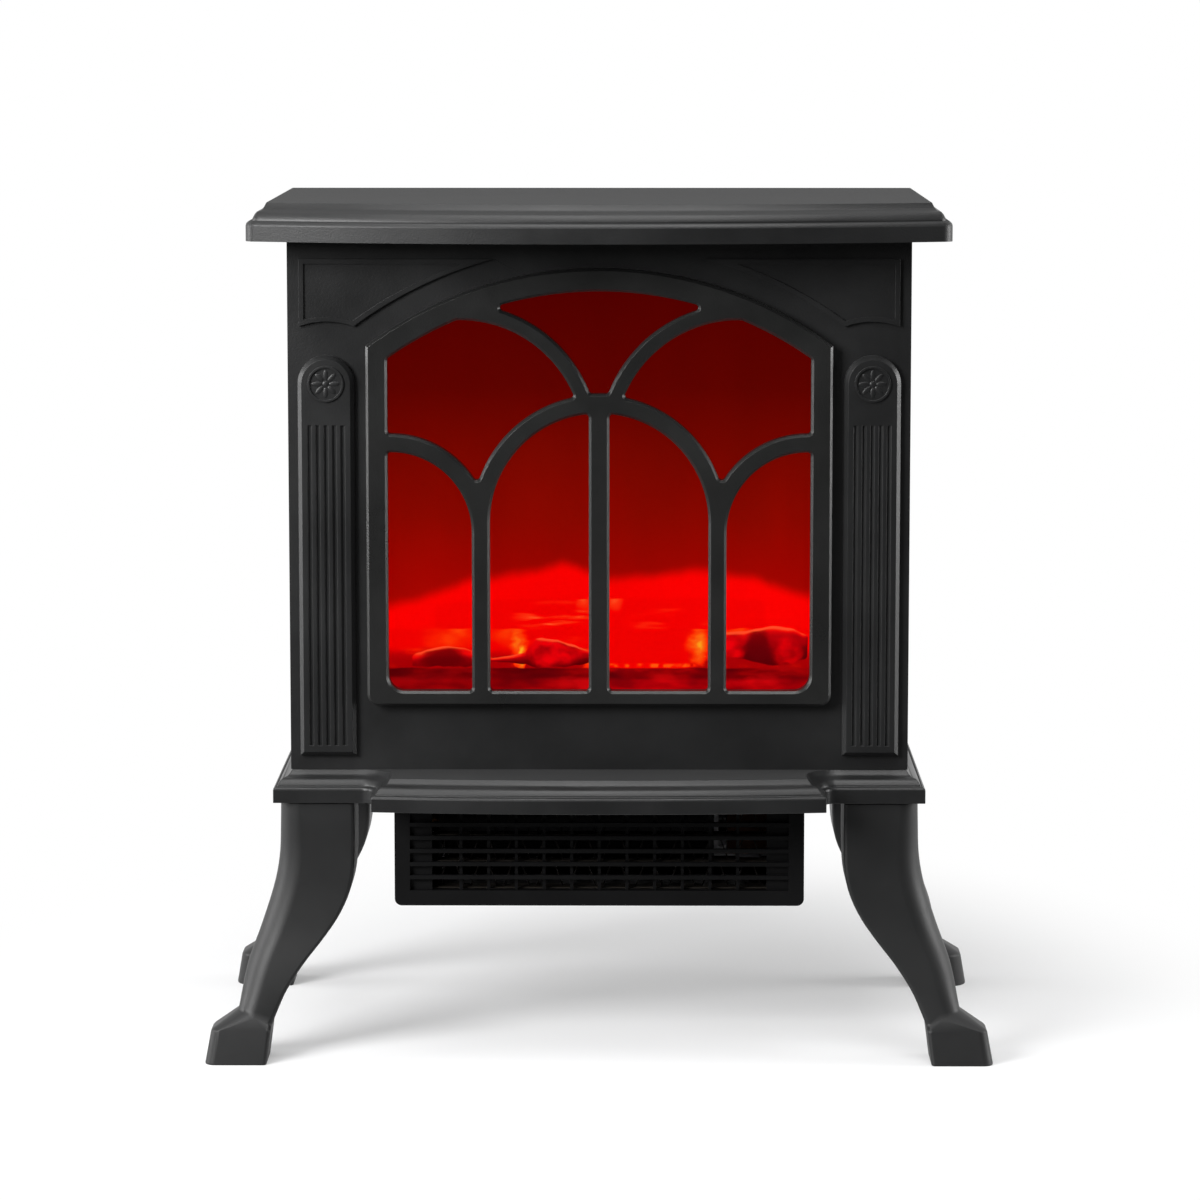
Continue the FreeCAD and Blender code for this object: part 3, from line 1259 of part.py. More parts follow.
def log_back():
    """Long log across the back of the bed."""
    y = BED_CREST_Y + LOG_R
    z = BED_CREST_Z + BACK_LOG_LIFT
    return log_shape(Vector(-LOG_SPAN, y, z - LOG_TIP_DROP / 2.0), Vector(LOG_SPAN, y, z))


def front_log(start_x, end_x, sink):
    """Log in front of the back one, half sunk in the bed, with its outer end nearer the glass."""
    y = BED_CREST_Y - FRONT_LOG_OUT
    z = BED_CREST_Z - sink
    return log_shape(Vector(start_x, y - LOG_TIP_DROP, z), Vector(end_x, y, z))


def log_left():
    """Front log on the left, the longer and lower one."""
    return front_log(LEFT_LOG_START, LEFT_LOG_END, LEFT_LOG_SINK)


def log_right():
    """Front log on the right, short and higher."""
    return front_log(RIGHT_LOG_START, RIGHT_LOG_END, RIGHT_LOG_SINK)


def fuel_bed():
    """Moulded ember bed, hollow below for the lamps, with cradles for the logs."""
    width = 2.0 * (LINER_HALF_W - FIT_GAP)
    body = bed_section(0.0).extrude(Vector(width, 0, 0))
    hollow = bed_section(BED_WALL).extrude(Vector(width - 2.0 * BED_WALL, 0, 0))
    return body.cut(hollow).cut([log_back(), log_left(), log_right()])


def lamp_board():
    """Circuit board on four spacers under the fuel bed."""
    half = LAMP_PITCH * (LAMP_COUNT - 1) / 2.0 + LAMP_PITCH / 2.0
    z = FLOOR_TOP + BOARD_STAND
    board = block(-half, half, BOARD_Y - BOARD_HALF_D, BOARD_Y + BOARD_HALF_D, z, z + BOARD_T)
    spacers = []
    inset = BOARD_STAND
    for x in (-half + inset, half - inset):
        for y in (BOARD_Y - BOARD_HALF_D + inset, BOARD_Y + BOARD_HALF_D - inset):
            half_post = BOARD_STAND / 2.0
            spacers.append(block(x - half_post, x + half_post, y - half_post, y + half_post, FLOOR_TOP, z))
    return fused([board] + spacers)


def flame_lamps():
    """Row of flat surface-mounted lamps on the board, with bevelled lenses."""
    z = FLOOR_TOP + BOARD_STAND + BOARD_T
    lamps = []
    for index in range(LAMP_COUNT):
        x = (index - (LAMP_COUNT - 1) / 2.0) * LAMP_PITCH
        lamp = block(x - LAMP_HALF, x + LAMP_HALF, BOARD_Y - LAMP_HALF, BOARD_Y + LAMP_HALF, z, z + LAMP_H)
        lamps.append(lamp.makeChamfer(LAMP_BEVEL, [edge for edge in lamp.Edges if edge.BoundBox.ZMin > z + 1.0]))
    return group(lamps)


# ---- flame spindle ----
def spindle_shaft():
    """Rod that carries the vanes and plugs into the spindle motor."""
    left = SPINDLE_LEFT_X - HANGER_T
    right = SPINDLE_RIGHT_X + HANGER_T + SPINDLE_MOTOR_T / 2.0
    return rod(ALONG_X, SPINDLE_R, Vector(left, SPINDLE_Y, SPINDLE_Z), right - left)


def spindle_vanes():
    """Bright vanes set round the rod in turn, which throw moving light on the screen."""
    span = SPINDLE_RIGHT_X - SPINDLE_LEFT_X - 2.0 * FAN_END_GAP
    pitch = span / VANE_COUNT
    vanes = []
    for index in range(VANE_COUNT):
        x = SPINDLE_LEFT_X + FAN_END_GAP + pitch * index
        hub = SPINDLE_R + VANE_T
        sleeve = block(x, x + pitch * VANE_FILL, -hub, hub, -hub, hub)
        blade = block(x, x + pitch * VANE_FILL, -VANE_W, VANE_W, -VANE_T / 2.0, VANE_T / 2.0)
        cross = block(x, x + pitch * VANE_FILL, -VANE_T / 2.0, VANE_T / 2.0, -VANE_W, VANE_W)
        vane = fused([sleeve, blade, cross])
        vane = vane.cut(rod(ALONG_X, SPINDLE_R, Vector(x - 1.0, 0, 0), pitch))
        vane.rotate(Vector(0, 0, 0), ALONG_X, 90.0 * index / VANE_COUNT)
        vane.translate(Vector(0, SPINDLE_Y, SPINDLE_Z))
        vanes.append(vane)
    return group(vanes)


def hanger(x, bore_r):
    """Upright bracket on the floor plate with a foot and a bore for the spindle."""
    half = HANGER_W / 2.0
    post = block(x, x + HANGER_T, SPINDLE_Y - half, SPINDLE_Y + half, FLOOR_TOP, SPINDLE_Z)
    head = rod(ALONG_X, half, Vector(x, SPINDLE_Y, SPINDLE_Z), HANGER_T)
    foot = block(x, x + HANGER_FOOT, SPINDLE_Y - half, SPINDLE_Y + half, FLOOR_TOP, FLOOR_TOP + HANGER_T)
    bore = rod(ALONG_X, bore_r, Vector(x - 1.0, SPINDLE_Y, SPINDLE_Z), HANGER_T + 2.0)
    return fused([post, head, foot]).cut(bore)


def spindle_bracket_left():
    """Left bracket, whose bore is the spindle's plain bearing."""
    return hanger(SPINDLE_LEFT_X - HANGER_T, SPINDLE_R + SHAFT_FIT)


def spindle_bracket_right():
    """Right bracket, bored for the nose of the spindle motor."""
    return hanger(SPINDLE_RIGHT_X, SPINDLE_MOTOR_NOSE)


def spindle_motor():
    """Flat synchronous motor on the right bracket, with a nose through it and a socket for the rod."""
    x = SPINDLE_RIGHT_X + HANGER_T
    can = rod(ALONG_X, SPINDLE_MOTOR_R, Vector(x, SPINDLE_Y, SPINDLE_Z), SPINDLE_MOTOR_T)
    nose = rod(ALONG_X, SPINDLE_MOTOR_NOSE, Vector(x - HANGER_T, SPINDLE_Y, SPINDLE_Z), HANGER_T)
    socket = rod(ALONG_X, SPINDLE_R + SHAFT_FIT, Vector(x - HANGER_T - 1.0, SPINDLE_Y, SPINDLE_Z),
                 HANGER_T + SPINDLE_MOTOR_T / 2.0 + 1.0)
    return can.fuse(nose).cut(socket)


# ---- rear controls ----
def switch_x(index):
    """Middle of one of the three rocker switches."""
    return CONTROL_X + SWITCH_OFFSET + index * SWITCH_PITCH


def control_face():
    """Outer face of the control plate."""
    return BACK_Y + CONTROL_T


def switch_body_block(index, y0, y1, gap):
    """The part of a switch that passes through the plate."""
    half_w = SWITCH_W / 2.0 - SWITCH_SHOULDER + gap
    half_h = SWITCH_H / 2.0 - SWITCH_SHOULDER + gap
    x = switch_x(index)
    return block(x - half_w, x + half_w, y0, y1, CONTROL_Z - half_h, CONTROL_Z + half_h)


def control_plate():
    """Moulded plate over the control opening, with cut-outs for the switches and the thermostat."""
    plate = block(CONTROL_X - CONTROL_HALF_W, CONTROL_X + CONTROL_HALF_W, BACK_Y, control_face(),
                  CONTROL_Z - CONTROL_HALF_H, CONTROL_Z + CONTROL_HALF_H)
    plate = plate.makeFillet(CONTROL_EDGE / 2.0, edges_along(plate, ALONG_Y))
    plate = plate.makeChamfer(SHEET, edges_on_y(plate, control_face()))
    cuts = [switch_body_block(index, BACK_Y - 1.0, control_face() + 1.0, 0.0) for index in range(3)]
    cuts.append(rod(ALONG_Y, KNOB_SHAFT_R + FIT_GAP, Vector(CONTROL_X + KNOB_OFFSET, BACK_Y - 1.0, CONTROL_Z),
                    CONTROL_T + 2.0))
    return plate.cut(cuts)


def pivot_y():
    """Depth of the rocker pivots."""
    return control_face() + SWITCH_BEZEL - ROCKER_PIVOT_IN


def switch_housing(index):
    """Switch case with a bezel outside the plate and a well for the rocker."""
    x = switch_x(index)
    face = control_face()
    bezel = block(x - SWITCH_W / 2.0, x + SWITCH_W / 2.0, face, face + SWITCH_BEZEL,
                  CONTROL_Z - SWITCH_H / 2.0, CONTROL_Z + SWITCH_H / 2.0)
    body = switch_body_block(index, face - SWITCH_DEPTH, face, 0.0)
    well_w = SWITCH_W / 2.0 - SWITCH_SHOULDER - SWITCH_WALL
    well_h = SWITCH_H / 2.0 - SWITCH_SHOULDER - SWITCH_WALL
    well = block(x - well_w, x + well_w, face + SWITCH_BEZEL - SWITCH_WELL, face + SWITCH_BEZEL + 1.0,
                 CONTROL_Z - well_h, CONTROL_Z + well_h)
    reach = well_w + SWITCH_PIN_BITE
    pins = rod(ALONG_X, ROCKER_PIN_R + ROCKER_PIN_FIT, Vector(x - reach, pivot_y(), CONTROL_Z), 2.0 * reach)
    return fused([bezel, body]).cut([well, pins])


def rocker(index):
    """Rocker with a dished face and two stub pins, in its off position."""
    x = switch_x(index)
    half_w = SWITCH_W / 2.0 - SWITCH_SHOULDER - SWITCH_WALL - FIT_GAP
    y = pivot_y()
    cap = polygon_prism([
        Vector(x - half_w, y + ROCKER_RISE, CONTROL_Z + ROCKER_HALF_H),
        Vector(x - half_w, y + ROCKER_RISE - ROCKER_DIP, CONTROL_Z),
        Vector(x - half_w, y + ROCKER_RISE, CONTROL_Z - ROCKER_HALF_H),
        Vector(x - half_w, y - ROCKER_DIP, CONTROL_Z - ROCKER_HALF_H),
        Vector(x - half_w, y - ROCKER_DROP, CONTROL_Z - ROCKER_HALF_H / 2.0),
        Vector(x - half_w, y - ROCKER_DROP, CONTROL_Z + ROCKER_HALF_H / 2.0),
        Vector(x - half_w, y - ROCKER_DIP, CONTROL_Z + ROCKER_HALF_H),
    ], Vector(2.0 * half_w, 0, 0))
    pin_reach = half_w + FIT_GAP + ROCKER_PIN_BITE
    pins = rod(ALONG_X, ROCKER_PIN_R, Vector(x - pin_reach, y, CONTROL_Z), 2.0 * pin_reach)
    cap = cap.fuse(pins)
    cap.rotate(Vector(x, y, CONTROL_Z), ALONG_X, -ROCKER_TILT)
    return cap


def thermostat_body():
    """Thermostat case behind the control plate, bored for the knob shaft."""
    x = CONTROL_X + KNOB_OFFSET
    case = block(x - THERMOSTAT_HALF, x + THERMOSTAT_HALF, BACK_Y - THERMOSTAT_DEPTH, BACK_Y,
                 CONTROL_Z - THERMOSTAT_HALF, CONTROL_Z + THERMOSTAT_HALF)
    case = case.makeFillet(MOULD_WALL, edges_along(case, ALONG_Y))
    bore = rod(ALONG_Y, KNOB_SHAFT_R + SHAFT_FIT, Vector(x, BACK_Y - KNOB_SHAFT_IN - FIT_GAP, CONTROL_Z),
               KNOB_SHAFT_IN + FIT_GAP + 1.0)
    return case.cut(bore)


def thermostat_shaft():
    """Turning shaft between the thermostat and its knob."""
    start = BACK_Y - KNOB_SHAFT_IN
    end = control_face() + FIT_GAP + KNOB_SOCKET
    return rod(ALONG_Y, KNOB_SHAFT_R, Vector(CONTROL_X + KNOB_OFFSET, start, CONTROL_Z), end - start)


def thermostat_knob():
    """Notched knob with a pointer rib, pressed on its shaft."""
    x = CONTROL_X + KNOB_OFFSET
    base = control_face() + FIT_GAP
    body = rod(ALONG_Y, KNOB_R, Vector(x, base, CONTROL_Z), KNOB_H)
    body = body.makeChamfer(SHEET, edges_on_y(body, base + KNOB_H))
    notches = []
    for index in range(KNOB_GRIPS):
        notch = polygon_prism([
            Vector(x - KNOB_NOTCH_W, base + MOULD_WALL, CONTROL_Z - KNOB_R - KNOB_NOTCH_DEPTH),
            Vector(x, base + MOULD_WALL, CONTROL_Z - KNOB_R + KNOB_NOTCH_DEPTH),
            Vector(x + KNOB_NOTCH_W, base + MOULD_WALL, CONTROL_Z - KNOB_R - KNOB_NOTCH_DEPTH),
        ], Vector(0, KNOB_H, 0))
        notch.rotate(Vector(x, base, CONTROL_Z), ALONG_Y, 360.0 * index / KNOB_GRIPS)
        notches.append(notch)
    pointer = block(x - SHEET / 2.0, x + SHEET / 2.0, base + KNOB_H, base + KNOB_H + SHEET,
                    CONTROL_Z, CONTROL_Z + KNOB_R - MOULD_WALL)
    socket = thermostat_shaft()
    return body.cut(notches).fuse(pointer).cut(socket)


# ---- all nodes ----
def all_nodes():
    """Every sub-part by node name."""
    side = right_side_panel()
    front_leg = leg()
    nodes = {
        "lid": lid(),
        "hearth": hearth(),
        "floor_plate": floor_plate(),
        "front_panel": front_panel(),
        "window_frame": window_frame(),
        "window_glass": window_glass(),
        "glass_clips": glass_clips(),
        "side_panel_right": side,
        "side_panel_left": mirror_x(side),
        "back_panel": back_panel(),
        "back_panel_screws": back_panel_screws(),
        "cable_gland": cable_gland(),
        "leg_front_right": front_leg,
        "leg_front_left": mirror_x(front_leg),
        "leg_rear_right": mirror_depth(front_leg),
        "leg_rear_left": mirror_depth(mirror_x(front_leg)),
        "leg_screws": leg_screws(),
        "heater_housing": heater_housing(),
        "heater_screws": heater_screws(),
        "outlet_grille": outlet_grille(),
        "fan_cradle": fan_cradle(),
        "fan_bush": fan_bush(),
        "fan_shaft": fan_shaft(),
        "fan_rotor": fan_rotor(),
        "motor_stator": motor_stator(),
        "motor_coil": motor_coil(),
        "motor_rotor": motor_rotor(),
        "motor_frame": motor_frame(),
        "mica_frame": mica_frame(),
        "heating_wire": heating_wire(),
        "thermal_cutout": thermal_cutout(),
        "firebox_liner": firebox_liner(),
        "flame_screen": flame_screen(),
        "fuel_bed": fuel_bed(),
        "log_back": log_back(),
        "log_left": log_left(),
        "log_right": log_right(),
        "lamp_board": lamp_board(),
        "flame_lamps": flame_lamps(),
        "spindle_shaft": spindle_shaft(),
        "spindle_vanes": spindle_vanes(),
        "spindle_bracket_left": spindle_bracket_left(),
        "spindle_bracket_right": spindle_bracket_right(),
        "spindle_motor": spindle_motor(),
        "control_plate": control_plate(),
        "thermostat_body": thermostat_body(),
        "thermostat_shaft": thermostat_shaft(),
        "thermostat_knob": thermostat_knob(),
    }
    for index, name in enumerate(("flame_switch", "low_heat_switch", "high_heat_switch")):
        nodes[name + "_housing"] = switch_housing(index)
        nodes[name] = rocker(index)
    return nodes


os.makedirs("parts", exist_ok=True)
for name, shape in all_nodes().items():
    shape.exportStep("parts/" + name + ".step")
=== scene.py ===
import json
import math

import bmesh
import bpy
from mathutils import Matrix, Vector, noise

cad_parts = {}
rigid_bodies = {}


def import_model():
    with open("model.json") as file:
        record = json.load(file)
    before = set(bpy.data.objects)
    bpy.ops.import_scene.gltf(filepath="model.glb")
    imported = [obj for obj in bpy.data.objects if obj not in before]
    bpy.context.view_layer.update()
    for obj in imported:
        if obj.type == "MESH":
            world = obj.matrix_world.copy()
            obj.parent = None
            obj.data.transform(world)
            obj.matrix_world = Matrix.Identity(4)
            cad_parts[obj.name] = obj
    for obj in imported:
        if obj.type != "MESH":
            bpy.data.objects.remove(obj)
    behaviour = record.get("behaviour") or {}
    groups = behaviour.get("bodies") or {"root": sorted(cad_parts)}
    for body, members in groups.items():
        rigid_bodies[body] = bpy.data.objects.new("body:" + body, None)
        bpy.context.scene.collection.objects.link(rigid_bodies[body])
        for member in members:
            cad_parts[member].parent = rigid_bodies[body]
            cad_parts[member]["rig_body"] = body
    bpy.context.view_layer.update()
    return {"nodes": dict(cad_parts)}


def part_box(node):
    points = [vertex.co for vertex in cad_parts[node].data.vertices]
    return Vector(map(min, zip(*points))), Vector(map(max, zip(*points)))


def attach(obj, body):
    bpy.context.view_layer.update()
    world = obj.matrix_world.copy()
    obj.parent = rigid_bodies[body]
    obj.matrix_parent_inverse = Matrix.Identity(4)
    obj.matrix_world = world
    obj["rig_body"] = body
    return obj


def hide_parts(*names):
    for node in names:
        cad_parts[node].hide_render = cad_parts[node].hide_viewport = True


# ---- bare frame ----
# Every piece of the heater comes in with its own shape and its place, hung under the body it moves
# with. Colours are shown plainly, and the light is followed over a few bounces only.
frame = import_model()
scene = bpy.context.scene
scene.view_settings.view_transform = "Standard"
scene.cycles.max_bounces = 8
scene.cycles.diffuse_bounces = 3
scene.cycles.glossy_bounces = 4
scene.cycles.transparent_max_bounces = 12
scene.cycles.sample_clamp_indirect = 3.0

# ---- camera ----
# A long lens on a stand some three metres in front of the heater, a little above its lid. It looks
# slightly down at the fire window, without any shift, and is sharp all through.
def millimetres(x, y, z):
    """A point given in millimetres, as a vector in metres."""
    return Vector((x, y, z)) / 1000.0


CAMERA_PLACE = millimetres(19.5, -2936.8, 664.4)
CAMERA_AIM = millimetres(0.5, -87.0, 290.7)
camera_data = bpy.data.cameras.new("camera")
camera = bpy.data.objects.new("camera", camera_data)
scene.collection.objects.link(camera)
camera.location = CAMERA_PLACE
camera.rotation_euler = (CAMERA_AIM - CAMERA_PLACE).to_track_quat("-Z", "Y").to_euler()
camera_data.sensor_width = 36.0
camera_data.lens = 137.45
camera_data.clip_end = 50.0
scene.camera = camera


# ---- stage ----
# A white floor that takes the soft shadow near the heater and runs on as plain white, and a white
# room whose far end, behind the camera, is dim, so that the black front stays black.
def add_node(tree, kind, inputs=None, **settings):
    """A shader node with its settings, whose inputs are values or other sockets."""
    made = tree.nodes.new(kind)
    for name, value in settings.items():
        setattr(made, name, value)
    for name, value in (inputs or {}).items():
        if isinstance(value, bpy.types.NodeSocket):
            tree.links.new(value, made.inputs[name])
        else:
            made.inputs[name].default_value = value
    return made


def calculate(tree, operation, *values):
    """The result of one step of arithmetic on numbers or sockets."""
    return add_node(tree, "ShaderNodeMath", dict(enumerate(values)), operation=operation).outputs[0]


def ramp(tree, factor, stops):
    """A colour ramp: stops are (position, colour) pairs, and a plain number is a grey."""
    made = add_node(tree, "ShaderNodeValToRGB", {"Fac": factor})
    elements = made.color_ramp.elements
    while len(elements) < len(stops):
        elements.new(0.5)
    for element, (position, colour) in zip(elements, stops):
        element.position = position
        if isinstance(colour, (int, float)):
            colour = (colour, colour, colour)
        element.color = (*colour, 1.0)
    return made.outputs["Color"]


def new_material(name):
    """An empty node material and its tree."""
    made = bpy.data.materials.new(name)
    made.use_nodes = True
    made.node_tree.nodes.clear()
    return made, made.node_tree


def finish_surface(tree, shader):
    """Joins a shader to the material's output."""
    add_node(tree, "ShaderNodeOutputMaterial", {"Surface": shader})


def new_piece(name, form):
    """An object in the scene made from a finished form."""
    mesh = bpy.data.meshes.new(name)
    form.to_mesh(mesh)
    form.free()
    piece = bpy.data.objects.new(name, mesh)
    scene.collection.objects.link(piece)
    return piece


def coordinates(tree, kind="Object"):
    """The places on an object, or by another kind its normals or the directions in the room."""
    return add_node(tree, "ShaderNodeTexCoord").outputs[kind]


def part_of(tree, vector, axis):
    """The part of a vector along one axis."""
    return add_node(tree, "ShaderNodeSeparateXYZ", {"Vector": vector}).outputs[axis]


def vector_step(tree, operation, first, second):
    """The result of one step of arithmetic on two vectors."""
    return add_node(tree, "ShaderNodeVectorMath", {0: first, 1: second},
                    operation=operation).outputs[0]


def stepped(tree, value, low, high, smooth=True, least=0.0, most=1.0):
    """The least below low and the most above high, or the reverse where high is the smaller."""
    return add_node(tree, "ShaderNodeMapRange", {
        "Value": value, "From Min": low, "From Max": high, "To Min": least, "To Max": most},
                    interpolation_type="SMOOTHSTEP" if smooth else "LINEAR").outputs["Result"]


def mixed_shaders(tree, factor, first, second):
    """A mix of two shaders."""
    return add_node(tree, "ShaderNodeMixShader", {0: factor, 1: first, 2: second}).outputs[0]


def white_to_the_eye(tree, behind):
    """One for rays straight from the camera or through glass, and for gloss behind the heater."""
    rays = add_node(tree, "ShaderNodeLightPath")
    mirrored = calculate(tree, "MULTIPLY", behind, rays.outputs["Is Glossy Ray"])
    straight = calculate(tree, "ADD", rays.outputs["Is Camera Ray"], mirrored)
    return calculate(tree, "ADD", straight, rays.outputs["Is Transmission Ray"])


FLOOR_HALF = 6.0
SHADOW_NARROWED = (1.5, 1.0, 1.0)
SHADOW_REACH = 0.36
SHADOW_FADE = 0.36
SHADOW_LIFT = 0.3
BEHIND_EDGE = (-0.5, 0.1)
FLOOR_TONE = (0.92, 0.92, 0.925, 1.0)
BOUNCE_TONE = (0.10, 0.10, 0.10, 1.0)
WHITE = (1.0, 1.0, 1.0, 1.0)
floor_form = bmesh.new()
bmesh.ops.create_grid(floor_form, x_segments=1, y_segments=1, size=FLOOR_HALF)
floor = new_piece("floor", floor_form)
floor_material, tree = new_material("white_floor")
place = coordinates(tree)
narrowed = vector_step(tree, "MULTIPLY", place, SHADOW_NARROWED)
reach = add_node(tree, "ShaderNodeVectorMath", {0: narrowed}, operation="LENGTH").outputs["Value"]
far = stepped(tree, reach, SHADOW_REACH, SHADOW_REACH + SHADOW_FADE)
lift = calculate(tree, "MULTIPLY_ADD", far, 1.0 - SHADOW_LIFT, SHADOW_LIFT)
near_floor = add_node(tree, "ShaderNodeBsdfDiffuse", {"Color": FLOOR_TONE}).outputs[0]
far_floor = add_node(tree, "ShaderNodeEmission", {"Color": WHITE, "Strength": 1.0}).outputs[0]
seen_floor = mixed_shaders(tree, lift, near_floor, far_floor)
bounce = add_node(tree, "ShaderNodeBsdfDiffuse", {"Color": BOUNCE_TONE}).outputs[0]
behind = stepped(tree, part_of(tree, place, "Y"), *BEHIND_EDGE, smooth=False)
finish_surface(tree, mixed_shaders(tree, white_to_the_eye(tree, behind), bounce, seen_floor))
floor.data.materials.append(floor_material)

ROOM_STRENGTH = 0.3
DIM_END = 0.12
DIM_EDGE = (-0.95, -0.35)
world = bpy.data.worlds.new("room")
scene.world = world
world.use_nodes = True
tree = world.node_tree
tree.nodes.clear()
direction = coordinates(tree, "Generated")
forward = part_of(tree, direction, "Y")
overhead = ramp(tree, part_of(tree, direction, "Z"), [(0.0, 0.55), (0.4, 0.8), (1.0, 1.0)])
far_end = stepped(tree, forward, *DIM_EDGE, least=DIM_END)
lighting = add_node(tree, "ShaderNodeBackground", {
    "Color": overhead, "Strength": calculate(tree, "MULTIPLY", far_end, ROOM_STRENGTH)}).outputs[0]
seen_room = add_node(tree, "ShaderNodeBackground", {"Color": WHITE, "Strength": 1.0}).outputs[0]
behind = calculate(tree, "GREATER_THAN", forward, 0.0)
room = mixed_shaders(tree, white_to_the_eye(tree, behind), lighting, seen_room)
add_node(tree, "ShaderNodeOutputWorld", {"Surface": room})


def soft_light(name, place, target, size, power):
    """A square area light at place that faces target, both in metres."""
    data = bpy.data.lights.new(name, "AREA")
    data.shape = "SQUARE"
    data.size = size
    data.energy = power
    lamp = bpy.data.objects.new(name, data)
    lamp.location = place
    lamp.rotation_euler = (Vector(target) - Vector(place)).to_track_quat("-Z", "Y").to_euler()
    scene.collection.objects.link(lamp)


soft_light("key_left", (-1.3, -1.45, 1.1), (0.0, 0.0, 0.35), 0.9, 47.0)
soft_light("top_front", (0.0, -1.1, 2.7), (0.0, 0.0, 0.3), 1.6, 38.0)
soft_light("side_left", (-2.4, 0.0, 0.7), (0.0, 0.0, 0.3), 1.2, 30.0)
soft_light("side_right", (2.4, 0.0, 0.7), (0.0, 0.0, 0.3), 1.2, 34.0)


# ---- lid ----
# The two-tier top is one hollow moulding in satin black, with a bowed front, a rounded edge, a
# groove and an ogee. It rests on the upper edges of the case.
WELD_DISTANCE = 0.000002
FLAT_ANGLE = math.radians(0.6)


def merged_form(node):
    """A form with a node's mesh, its corners joined and each flat face made whole."""
    form = bmesh.new()
    form.from_mesh(frame["nodes"][node].data)
    bmesh.ops.remove_doubles(form, verts=form.verts, dist=WELD_DISTANCE)
    bmesh.ops.dissolve_limit(form, angle_limit=FLAT_ANGLE, verts=form.verts, edges=form.edges)
    return form


def smooth_faces(piece, sharp):
    """Smooth shading over a piece, broken where its faces meet at more than the sharp angle."""
    for polygon in piece.data.polygons:
        polygon.use_smooth = True
    piece.data.set_sharp_from_angle(angle=math.radians(sharp))


def fit_piece(piece, material, slot, body, *nodes):
    """Gives a piece its finish, joins it to its body and lets it stand for the nodes named."""
    piece.data.materials.clear()
    piece.data.materials.append(material)
    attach(piece, body)
    if nodes:
        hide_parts(*nodes)


def ease_edges(piece, ease, segments, sharp):
    """Rounds the sharp edges of a piece and keeps its broad faces flat."""
    eased = piece.modifiers.new("eased_edges", "BEVEL")
    eased.width = ease
    eased.segments = segments
    eased.limit_method = "ANGLE"
    eased.angle_limit = math.radians(sharp)
    eased.miter_outer = "MITER_ARC"
    level = piece.modifiers.new("level_faces", "WEIGHTED_NORMAL")
    level.weight = 100
    level.keep_sharp = True


def finished(node, material, slot, ease=0.0006, segments=2, sharp=30.0):
    """A copy of a node that takes its place, with its curves smoothed and its edges eased."""
    form = merged_form(node)
    wide = [face for face in form.faces if len(face.verts) > 4]
    bmesh.ops.triangulate(form, faces=wide, quad_method="BEAUTY", ngon_method="BEAUTY")
    piece = new_piece(node + "_finished", form)
    smooth_faces(piece, sharp)
    ease_edges(piece, ease, segments, sharp)
    fit_piece(piece, material, slot, frame["nodes"][node]["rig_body"], node)


CLOUD_SCALE = 14.0
GRAIN_RELIEF = 0.0004
LEVEL_EDGE = (0.93, 0.995)


def moulded(name, colour, roughness, specular=0.35, grain_scale=900.0, grain_depth=0.10,
            mottle=0.18, metallic=0.0, stretch=(1.0, 1.0, 1.0), dusty=0.0):
    """A moulded or painted surface: fine grain in its relief, faint clouds in its tone and gloss.
    A dusty one is duller where it lies level and faces up."""
    made, tree = new_material(name)
    place = add_node(tree, "ShaderNodeMapping", {
        "Vector": coordinates(tree), "Scale": stretch}).outputs["Vector"]
    grain = add_node(tree, "ShaderNodeTexNoise", {
        "Vector": place, "Scale": grain_scale, "Detail": 2.0, "Roughness": 0.6}).outputs["Fac"]
    cloud = add_node(tree, "ShaderNodeTexNoise", {
        "Vector": place, "Scale": CLOUD_SCALE, "Detail": 5.0, "Roughness": 0.62}).outputs["Fac"]
    dark = tuple(channel * (1.0 - mottle) for channel in colour)
    light = tuple(channel * (1.0 + mottle) for channel in colour)
    tone = ramp(tree, cloud, [(0.3, dark), (0.7, light)])
    gloss = ramp(tree, cloud, [(0.3, roughness - 0.05), (0.7, roughness + 0.06)])
    upward = part_of(tree, add_node(tree, "ShaderNodeNewGeometry").outputs["Normal"], "Z")
    dust = stepped(tree, upward, *LEVEL_EDGE, smooth=False, most=dusty)
    relief = add_node(tree, "ShaderNodeBump", {
        "Height": grain, "Strength": grain_depth, "Distance": GRAIN_RELIEF}).outputs["Normal"]
    shader = add_node(tree, "ShaderNodeBsdfPrincipled", {
        "Base Color": tone, "Roughness": calculate(tree, "ADD", gloss, dust), "Normal": relief,
        "Specular IOR Level": specular, "Metallic": metallic})
    finish_surface(tree, shader.outputs[0])
    return made


satin_black = moulded("satin_black", (0.0105, 0.0107, 0.0110), 0.40, specular=0.5,
                      grain_depth=0.2, dusty=0.6)
finished("lid", satin_black, "satin_black")

# ---- front panel ----
# One moulding in satin black that closes the front of the case: the arched opening, two fluted
# pilasters under ring rosettes, and two spandrels with a raised bead around a sunk field.
finished("front_panel", satin_black, "satin_black", ease=0.0005)

